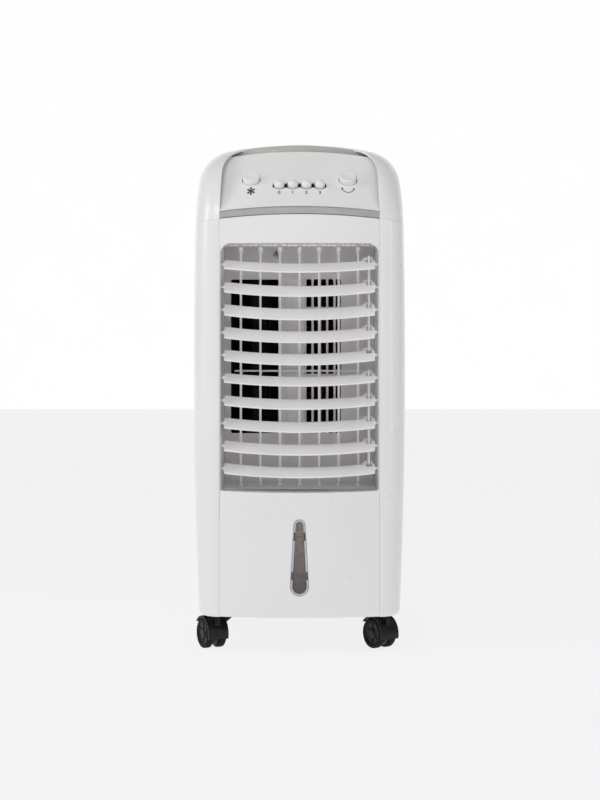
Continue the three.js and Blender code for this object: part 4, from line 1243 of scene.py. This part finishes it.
def duct_floor(material):
    """The floor climbs a little to the back and turns up into the wall."""
    line = [(-108.2, 203.9), (-90, 206.6), (-76, 210.2), (-68, 213.6), (-64.6, 217.4), (-63.6, 222)]
    under = [(y + 1.0, z - 1.8) for y, z in line[::-1]]
    shape = Shape()
    shape.prism(line + under, lambda y, z, w: (w, y, z), -97.4, 97.4, 0.25)
    piece(shape.object("duct_floor", 35), material, "duct", "body")


def vane_rails(material):
    """Rail that carries the vanes' top pins, a slotted lip in front of it, and a boss under each vane."""
    shape = Shape()
    y = VANE_AXIS_Y
    shape.block(-97, 97, y - 5.2, y + 5.2, 514.2, 519.0, 0.5)
    for x in (VANE_XS[0] - VANE_PITCH, *VANE_XS):
        left, right = x + 2.6, x + VANE_PITCH - 2.6
        left, right = max(left, -97), min(right, 97)
        third = (right - left) / 3
        for k in range(3):
            shape.block(left + k * third + 0.5, left + (k + 1) * third - 0.5, y - 14, y - 10.4, 512.8, 516.2, 0.6)
        shape.block(left + 0.6, right - 0.6, y - 11.4, y - 4.0, 515.0, 516.6, 0.3)
    for x in VANE_XS:
        shape.lathe([(1.9, 0), (2.9, 0), (3.1, 0.4), (2.9, 4.2), (1.9, 4.4), (1.9, 0)], 24,
                    Matrix.Translation((x, y, 206.0)))
    piece(shape.object("vane_rails"), material, "louver", "body")


def duct_screw(material, dark):
    shape = Shape()
    x, y, z = -29.8, -64.1, 504.4
    head = [(0, -0.6), (4.1, -0.6), (4.2, 0.2), (3.7, 1.0), (2.6, 1.5), (1.2, 1.7), (0, 1.7)]
    turn = Matrix.Translation((x, y, z)) @ Matrix.Rotation(math.pi / 2, 4, "X")
    shape.lathe(head, 32, turn)
    piece(shape.object("duct_screw_head"), material, "steel", "body", "duct_screw")
    # The cross is painted shade: two dark bars stand for the hollow of the cross slot.
    cross = Shape()
    for angle in (0.5, 0.5 + math.pi / 2):
        verts = cross.block(-2.3, 2.3, -0.42, 0.42, 1.2, 1.8, 0.1, 1)
        cross.move(verts, turn @ Matrix.Rotation(angle, 4, "Z"))
    piece(cross.object("duct_screw_cross"), dark, "steel", "body")


def fan_scroll(material):
    """Curved wall round the drum fan, between two end plates."""
    shape = Shape()
    low, high, front = 263, 481, -58.2
    wall = bezier((-92.6, -58.4), (-93.5, -10), (-80, 43), (-34, 43.6), 30)
    inner = [(x + 1.9, y - 0.7) for x, y in wall]
    shape.prism(wall + inner[::-1], upright, low, high)
    tongue = [(-25.8, front), (-23.2, front), *bezier((-23, -54), (-20, -46), (-16, -42), (-12, -34), 8),
              (-15, -33)]
    shape.prism(tongue, upright, low, high)
    plate = [(-93.6, -58.4), (59.6, -58.4), (59.6, 20), (30, 45.6), (-60, 45.6), (-93.6, 0)]
    for z in (low - 0.8, high - 1.4):
        shape.prism(plate, upright, z, z + 2.2, 0.4)
    shape.block(57.6, 59.6, front, 20, low, high, 0.4)
    piece(shape.object("fan_scroll_shell"), material, "fan", "body", "fan_scroll")


def fan_drum(material):
    shape = Shape()
    low, high = 268.0, 476.0
    for z in (low, 371.5, high - 1.6):
        shape.lathe([(3, 0), (33.6, 0), (33.8, 0.5), (33.8, 1.3), (33.4, 1.8), (3, 1.8), (3, 0)], 48,
                    Matrix.Translation((0, 0, z)))
    for i in range(32):
        turn = Matrix.Rotation(2 * math.pi * i / 32, 4, "Z") @ Matrix.Translation((0, 27.8, 0))
        blade = arc(4.5, 0, 6.4, 128, 232, 6)
        skin = blade + [(x + 0.8, y) for x, y in blade[::-1]]
        verts = shape.prism(skin, upright, low + 1, high - 1)
        shape.move(verts, turn)
    shape.rod((0, 0, 264), (0, 0, 488), 2.9, 0.4)
    drum = shape.object("fan_drum", 40)
    drum.location = Vector((-32, 0, 0)) * MM
    bpy.context.view_layer.update()
    piece(drum, material, "fan", "fan_impeller", "fan_impeller")


# ------------------------------------------------------------------ water level window
def water_window(rim, lens, mark, dark):
    ring = filled_sheet("window_rim", keyhole(-0.3, 24), [keyhole(-2.9, 24)[::-1]], 2.9, 0.5,
                        lambda x, z, w: (x, front_y(x) + 0.5 - w, z), steps(-14, 14, 4))
    piece(ring, rim, "window", "body", "water_window")
    face = filled_sheet("window_lens", keyhole(-2.6, 24), [], 1.8, 0.3,
                        lambda x, z, w: (x, front_y(x) + 2.2 + 0.008 * x * x - w, z), steps(-12, 12, 2),
                        steps(WINDOW_BOTTOM, WINDOW_TOP, 8))
    piece(face, lens, "window", "body")
    shape = Shape()
    for side in (-1, 1):
        for low, high, foot, head in ((141.7, 152.2, 6.7, 6.1), (92.6, 103.1, 9.7, 9.1)):
            strip = [(foot - 0.9, low), (foot + 0.9, low), (head + 0.9, high), (head - 0.9, high)]
            shape.prism([(side * x, z) for x, z in strip],
                        lambda x, v, w: (x, front_y(x) + w, v), 0.3, 2.0, 0.2)
    piece(shape.object("window_clips"), dark, "window", "body")
    shape = Shape()
    for z, half in ((155.6, 4.2), (147.0, 3.6), (98.0, 4.4), (88.0, 8.0)):
        shape.prism(rounded_box(-half, half, z - 0.3, z + 0.3, 0.25, 2),
                    lambda x, v, w: (x, front_y(x) + w, v), 2.0, 2.4)
    piece(shape.object("level_lines"), mark, "window", "body")


# ------------------------------------------------------------------ underside, tank and intake
def base_tray(material):
    def plan(inset):
        return [(-118 + inset, -106), (-98 + inset, -128.6 + inset), (98 - inset, -128.6 + inset),
                (118 - inset, -106), (118 - inset, 130 - inset), (-118 + inset, 130 - inset)]
    shape = Shape()
    shape.prism(plan(0), upright, 46.8, 49.8, 0.8, 3)
    for low, high in zip(plan(0.4), plan(0.4)[1:] + plan(0.4)[:1]):
        a, b = Vector((*low, 0)), Vector((*high, 0))
        along = (b - a).normalized()
        inward = Vector((-along.y, along.x, 0)) * 2.4
        quad = [a, b, b + inward, a + inward]
        shape.prism([(p.x, p.y) for p in quad], upright, 49.2, 61, 0.3)
    for x in (-60, 0, 60):
        shape.block(x - 1.4, x + 1.4, -126, 127, 49.4, 64, 0.4)
    for _, x, y, _ in caster_places():
        shape.lathe([(4.7, 0), (9.4, 0), (9.8, 0.5), (9.8, 2.4), (8, 3.4), (8, 14), (4.7, 14), (4.7, 0)], 32,
                    Matrix.Translation((x, y, 46.7)))
    # The tray is white plastic; the grey inner finish here is painted shade for its edge under the panels.
    piece(shape.object("base_tray"), material, "inner", "body", "base_pan")


def caster_sockets(material):
    """White collars that the stems run up into."""
    shape = Shape()
    collar = [(4.3, 41.6), (5.4, 41.6), (6.0, 42.2), (7.6, 44.4), (8.2, 46.4), (8.2, 47.0), (4.3, 47.0), (4.3, 41.6)]
    for _, x, y, _ in caster_places():
        shape.lathe(collar, 36, Matrix.Translation((x, y, 0)))
    piece(shape.object("caster_sockets"), material, "shell", "body")


def tank_trough(material):
    shape = Shape()
    outline = rounded_box(-99.6, 99.6, -115.6, 146.2, 9, 6)
    inner = rounded_box(-97.2, 97.2, -113.2, 143.8, 7, 6)
    rows = [(outline, 65.4), (outline, 166), (outline, 167.6), (inner, 167.8), (inner, 68), (inner, 67.8)]
    shape.grid([[(x, y, z) for x, y in points] for points, z in rows], closed_rows=True, cap=True)
    piece(shape.object("tank_trough", 45), material, "shell", "water_tank", "water_tank")


def tank_door(material):
    grip = rounded_box(-40, 40, 150, 164, 5, 6)
    sheet = filled_sheet("tank_door", rounded_box(-106, 106, 60.4, 191.6, 6, 6), [grip[::-1]], 3.2, 0.8,
                         lambda x, z, w: (-x, 149.8 + w, z), steps(-106, 106, 30))
    piece(sheet, material, "shell", "water_tank")
    shape = Shape()
    inner = rounded_box(-37.5, 37.5, 152.5, 161.5, 4, 6)
    outer = rounded_box(-41, 41, 149, 165, 5.6, 6)
    shape.grid([[(x, y, z) for x, z in points] for points, y in
                ((outer, 146.9), (grip, 148.9), (inner, 141.9), (inner, 140.7), (outer, 145.6))],
               closed_rows=True, cap=True)
    piece(shape.object("tank_grip", 45), material, "shell", "water_tank")


def intake_grille(material):
    half, low, high = INTAKE_HALF, INTAKE_LOW, INTAKE_HIGH
    frame_hole = rounded_box(-half + 3, half - 3, low + 3, high - 3, 3, 4)
    sheet = filled_sheet("intake_frame", rounded_box(-half - 5, half + 5, low - 5, high + 5, 5, 5),
                         [frame_hole[::-1]], 3.4, 0.7, lambda x, z, w: (-x, 149.9 + w, z))
    piece(sheet, material, "shell", "intake_frame", "intake_grille")
    shape = Shape()
    pitch = (high - low) / 22
    for i in range(1, 22):
        z = low + i * pitch
        slat = [(-1.6, 2.2), (-0.9, 3.0), (1.6, -1.4), (1.6, -2.6), (0.9, -3.0), (-1.6, 1.2)]
        shape.prism(slat, lambda y, v, w: (w, 148.0 + y, z + v), -half + 2.4, half - 2.4, 0.3)
    for x in (-half / 3, half / 3):
        shape.block(x - 2.4, x + 2.4, 146.5, 149.4, low + 2, high - 2, 0.5)
    piece(shape.object("intake_slats"), material, "shell", "intake_frame")


def dust_filter(net, border):
    shape = Shape()
    shape.grid([[(mix(-101, 101, t), 142 + 0.5 * math.cos(math.pi * 8 * t) - 0.4 * math.cos(math.pi * 4 * s), z)
                 for t in even(64)] for s, z in ((s, mix(220, 508, s)) for s in even(48))])
    obj = shape.object("filter_net", 80)
    modifier(obj, "SOLIDIFY", thickness=0.6 * MM, offset=0)
    baked(obj, 80)
    piece(obj, net, "filter", "intake_frame", "dust_filter")
    holes = []
    for column in range(4):
        for row in range(5):
            x0, z0 = -100 + column * 50.5, 220 + row * 58
            holes.append(rounded_box(x0 + 1.6, x0 + 47, z0 + 1.6, z0 + 54.4, 2, 3)[::-1])
    sheet = filled_sheet("filter_frame", rounded_box(-103, 103, 217, 511, 3, 4), holes, 2.6, 0.5,
                         lambda x, z, w: (-x, 145.2 + w, z))
    piece(sheet, border, "filter", "intake_frame")


def cooling_pad(material):
    """Corrugated sheets crossing at alternate slants, cut flush on every side."""
    shape = Shape()
    sheets = 34
    for i in range(sheets):
        x = mix(-98, 98, i / (sheets - 1))
        lean = 0.7 if i % 2 else -0.35
        rows = []
        for s in even(72):
            z = mix(214.6, 497.4, s)
            rows.append([(x + 2.2 * math.sin((z + lean * y) * 0.42), y, z) for y in
                         [mix(72.6, 107.4, t) for t in even(8)]])
        shape.grid(rows)
    obj = shape.object("cooling_pad_sheets", 180)
    modifier(obj, "SOLIDIFY", thickness=0.5 * MM, offset=0)
    baked(obj, 70)
    piece(obj, material, "pad", "body", "cooling_pad")


def cord_gland(material):
    shape = Shape()
    ring = [(2.7, -9), (4, -9), (4, -1), (4.2, 0.5), (6.3, 0.5), (6.4, 1.6), (5.4, 3.0), (4.2, 3.5), (2.7, 3.5),
            (2.7, -9)]
    shape.lathe(ring, 32, Matrix.Translation((88, 146.0, 204)) @ Matrix.Rotation(-math.pi / 2, 4, "X"))
    piece(shape.object("cord_gland_ring"), material, "caster", "body", "cord_gland")


# ------------------------------------------------------------------ casters
CASTER_TRAIL = 10.0
WHEEL_R = 19.0
TREAD = 9.0
WHEEL_GAP = 4.4


def caster_places():
    return [("front_left", -108, -106, 27), ("front_right", 108, -106, 35),
            ("rear_left", -100, 108, 82), ("rear_right", 100, 108, -76)]


def caster_hood_shape():
    """Curved mudguard over both wheels, a web between them and the swivel head."""
    shape = Shape()
    centre_y, centre_z = CASTER_TRAIL, WHEEL_R
    outer_r, inner_r = WHEEL_R + 3.5, WHEEL_R + 1.4
    half = WHEEL_GAP + TREAD + 0.4
    stations = [(-half, 0.90), (-half + 0.7, 0.97), (-half + 2, 1.0), (0, 1.02), (half - 2, 1.0),
                (half - 0.7, 0.97), (half, 0.90)]
    rows = []
    for x, swell in stations:
        outside = arc(centre_y, centre_z, inner_r + (outer_r - inner_r) * swell, 40, 195, 34)
        inside = arc(centre_y, centre_z, inner_r, 195, 40, 34)
        rows.append([(x, y, z) for y, z in outside + inside])
    shape.grid(rows, closed_rows=True, cap=True)
    web = [(-8.6, 36), (-8.6, 41), (centre_y - 2, 41), *arc(centre_y, centre_z, inner_r + 0.6, 84, 42, 8),
           *arc(centre_y, centre_z, 16.4, 20, -44, 8), *arc(centre_y, centre_z, 16.4, 240, 204, 5),
           *arc(centre_y, centre_z, inner_r + 0.6, 194, 170, 6)]
    shape.prism(web, lambda y, z, w: (w, y, z), -3.9, 3.9, 0.6, 3)
    head = [(0, 33), (5.6, 33), (6.0, 34), (6.0, 40.2), (5.4, 41), (3.9, 41.4), (3.9, 59), (3.3, 59.8), (0, 59.8)]
    shape.lathe(head, 36)
    return shape


def caster_wheel_shapes():
    """Tyres with a shallow groove, and the dished hubs with their ribs."""
    tyre, hub = Shape(), Shape()
    for side in (-1, 1):
        turn = Matrix.Rotation(side * math.pi / 2, 4, "Y") @ Matrix.Translation((0, 0, WHEEL_GAP))
        profile = [(14.2, 0.2), (17.6, 0.2), (18.6, 0.8), (18.95, 1.9), (18.95, 3.9), (18.5, 4.3), (18.5, 4.9),
                   (18.95, 5.3), (18.95, 7.0), (18.4, 8.3), (17.4, 8.9), (15.4, 9.0), (14.2, 8.6), (14.2, 0.2)]
        tyre.lathe(profile, 72, turn)
        face = [(2.4, 0.3), (14.4, 0.3), (14.4, 8.3), (13.8, 8.5), (12.8, 7.2), (7.0, 6.6), (6.2, 7.6),
                (5.0, 8.3), (3.0, 8.5), (0, 8.5)]
        hub.lathe(face, 56, turn)
        for i in range(6):
            verts = hub.block(6.4, 13.6, -0.6, 0.6, 6.4, 7.7, 0.3)
            hub.move(verts, turn @ Matrix.Rotation(2 * math.pi * i / 6, 4, "Z"))
    hub.rod((-WHEEL_GAP - 1, 0, 0), (WHEEL_GAP + 1, 0, 0), 2.5, 0.2)
    return tyre, hub


def casters(shell, rubber):
    hood = caster_hood_shape().mesh("caster_hood", 45)
    tyre, hub = (shape.mesh(name, 45) for shape, name in zip(caster_wheel_shapes(), ("tyre", "hub")))
    for name, x, y, yaw in caster_places():
        turn = Matrix.Rotation(math.radians(yaw), 4, "Z")
        place = Matrix.Translation(Vector((x, y, 0)) * MM) @ turn
        axle = place @ Matrix.Translation(Vector((0, CASTER_TRAIL, WHEEL_R)) * MM)
        caster = f"caster_{name}"
        for part, source, matrix, material, body, nodes in (
                ("hood_cover", hood, place, shell, "_hood", ("_hood",)),
                ("tyres", tyre, axle, rubber, "_wheels", ("_wheels",)),
                ("hubs", hub, axle, shell, "_wheels", ())):
            copy = linked(f"{caster}_{part}", source.copy())
            copy.matrix_world = matrix
            bpy.context.view_layer.update()
            piece(copy, material, "caster", caster + body, *[caster + n for n in nodes])
    for source in (hood, tyre, hub):
        bpy.data.meshes.remove(source)


# ------------------------------------------------------------------ camera, light and floor
def camera():
    """Level with the upper louvers, looking straight on from 2.2 m in front of the panel."""
    data = bpy.data.cameras.new("camera")
    data.sensor_width = 36
    data.lens = 79.2
    data.shift_x, data.shift_y = 0.0006, -0.0625
    data.clip_end = 40
    eye = linked("camera", data)
    eye.location = (0, -2.35, 0.3805)
    eye.rotation_euler = (math.pi / 2, 0, 0)
    bpy.context.scene.camera = eye


def softbox(name, place, target, width, height, power):
    data = bpy.data.lights.new(name, "AREA")
    data.shape = "RECTANGLE"
    data.size = width
    data.size_y = height
    data.energy = power
    lamp = linked(name, data)
    lamp.location = place
    lamp.rotation_euler = (Vector(target) - Vector(place)).to_track_quat("-Z", "Y").to_euler()


def lights():
    middle = (0, 0, 0.36)
    softbox("key_left", (-2.4, -0.8, 1.5), (0, 0, 0.45), 0.8, 1.7, 18)
    softbox("key_front", (-0.9, -2.3, 2.3), (0, 0, 0.5), 1.1, 0.9, 14)
    softbox("fill_right", (2.1, -1.6, 0.8), middle, 0.3, 1.5, 4.5)
    softbox("top", (0, -0.8, 2.3), (0, 0, 0.5), 2.2, 1.6, 4)
    softbox("front", (0.1, -3.1, 1.5), middle, 1.8, 0.9, 9)


def white_surface(name, grid, glow):
    shape = Shape()
    shape.grid(grid)
    obj = shape.object(name)
    finish = Finish(name + "_paint", Roughness=0.9, Specular_IOR_Level=0.0, Emission_Strength=glow)
    finish.colour(tone(84, 84, 84), tone(88, 88, 88), 3)
    finish.shader.inputs["Emission Color"].default_value = (1, 1, 1, 1)
    obj.data.materials.append(finish.material)


def surroundings():
    """White floor and a lit white wall far behind, under a softly lit sky."""
    far = 9000
    white_surface("floor", [[(mix(-far, far, t), mix(-far, far, s), 0) for t in even(4)] for s in even(4)], 0.84)
    white_surface("backdrop", [[(mix(-far, far, t), far, mix(-10, far, s)) for t in even(4)] for s in even(4)], 0.94)
    world = bpy.data.worlds.new("studio")
    bpy.context.scene.world = world
    world.use_nodes = True
    sky = world.node_tree.nodes["Background"]
    sky.inputs["Color"].default_value = (1, 1, 1, 1)
    sky.inputs["Strength"].default_value = 0.29
    bpy.context.scene.view_settings.view_transform = "Standard"


# ------------------------------------------------------------------ assembly
def hidden_parts(fan, steel, inner, hose):
    for name, material in (("fan_motor", steel), ("swing_motor", steel), ("swing_crank", inner), ("pump", fan),
                           ("pump_hose", hose), ("water_distributor", inner)):
        keep_node(name, material)


def build():
    shell, louver, fascia, strip = shell_plastic(), louver_plastic(), fascia_plastic(), strip_paint()
    duct, inner, fan, recess = duct_plastic(), inner_plastic(), fan_plastic(), recess_plastic()
    caster, tyre, steel, black = caster_plastic(), tyre_rubber(), steel_metal(), ink()
    vane, tunnel = vane_plastic(), tunnel_plastic()
    front_panel(shell)
    opening_liner(shell)
    pillar(-1, shell)
    pillar(1, shell)
    rear_housing(shell)
    top_cover(shell)
    bay_back(strip)
    control_fascia(fascia)
    fascia_recess(recess)
    trim_strip(strip)
    buttons(louver)
    prints(black)
    louvers(louver)
    louver_link("louver_link_upper", 0, louver)
    louver_link("louver_link_lower", GROUP_SIZE, louver)
    vanes(vane)
    vane_link(vane)
    duct_back(duct)
    duct_shell(tunnel)
    duct_floor(tunnel)
    vane_rails(vane)
    duct_screw(steel, recess)
    fan_scroll(fan)
    fan_drum(fan)
    water_window(rim_plastic(), lens_plastic(), level_mark(), black)
    base_tray(inner)
    caster_sockets(shell)
    tank_trough(shell)
    tank_door(shell)
    intake_grille(shell)
    dust_filter(woven_filter(), fan)
    cooling_pad(kraft_pad())
    cord_gland(caster)
    casters(caster, tyre)
    hidden_parts(fan, steel, inner, hose_rubber())


camera()
lights()
surroundings()
build()
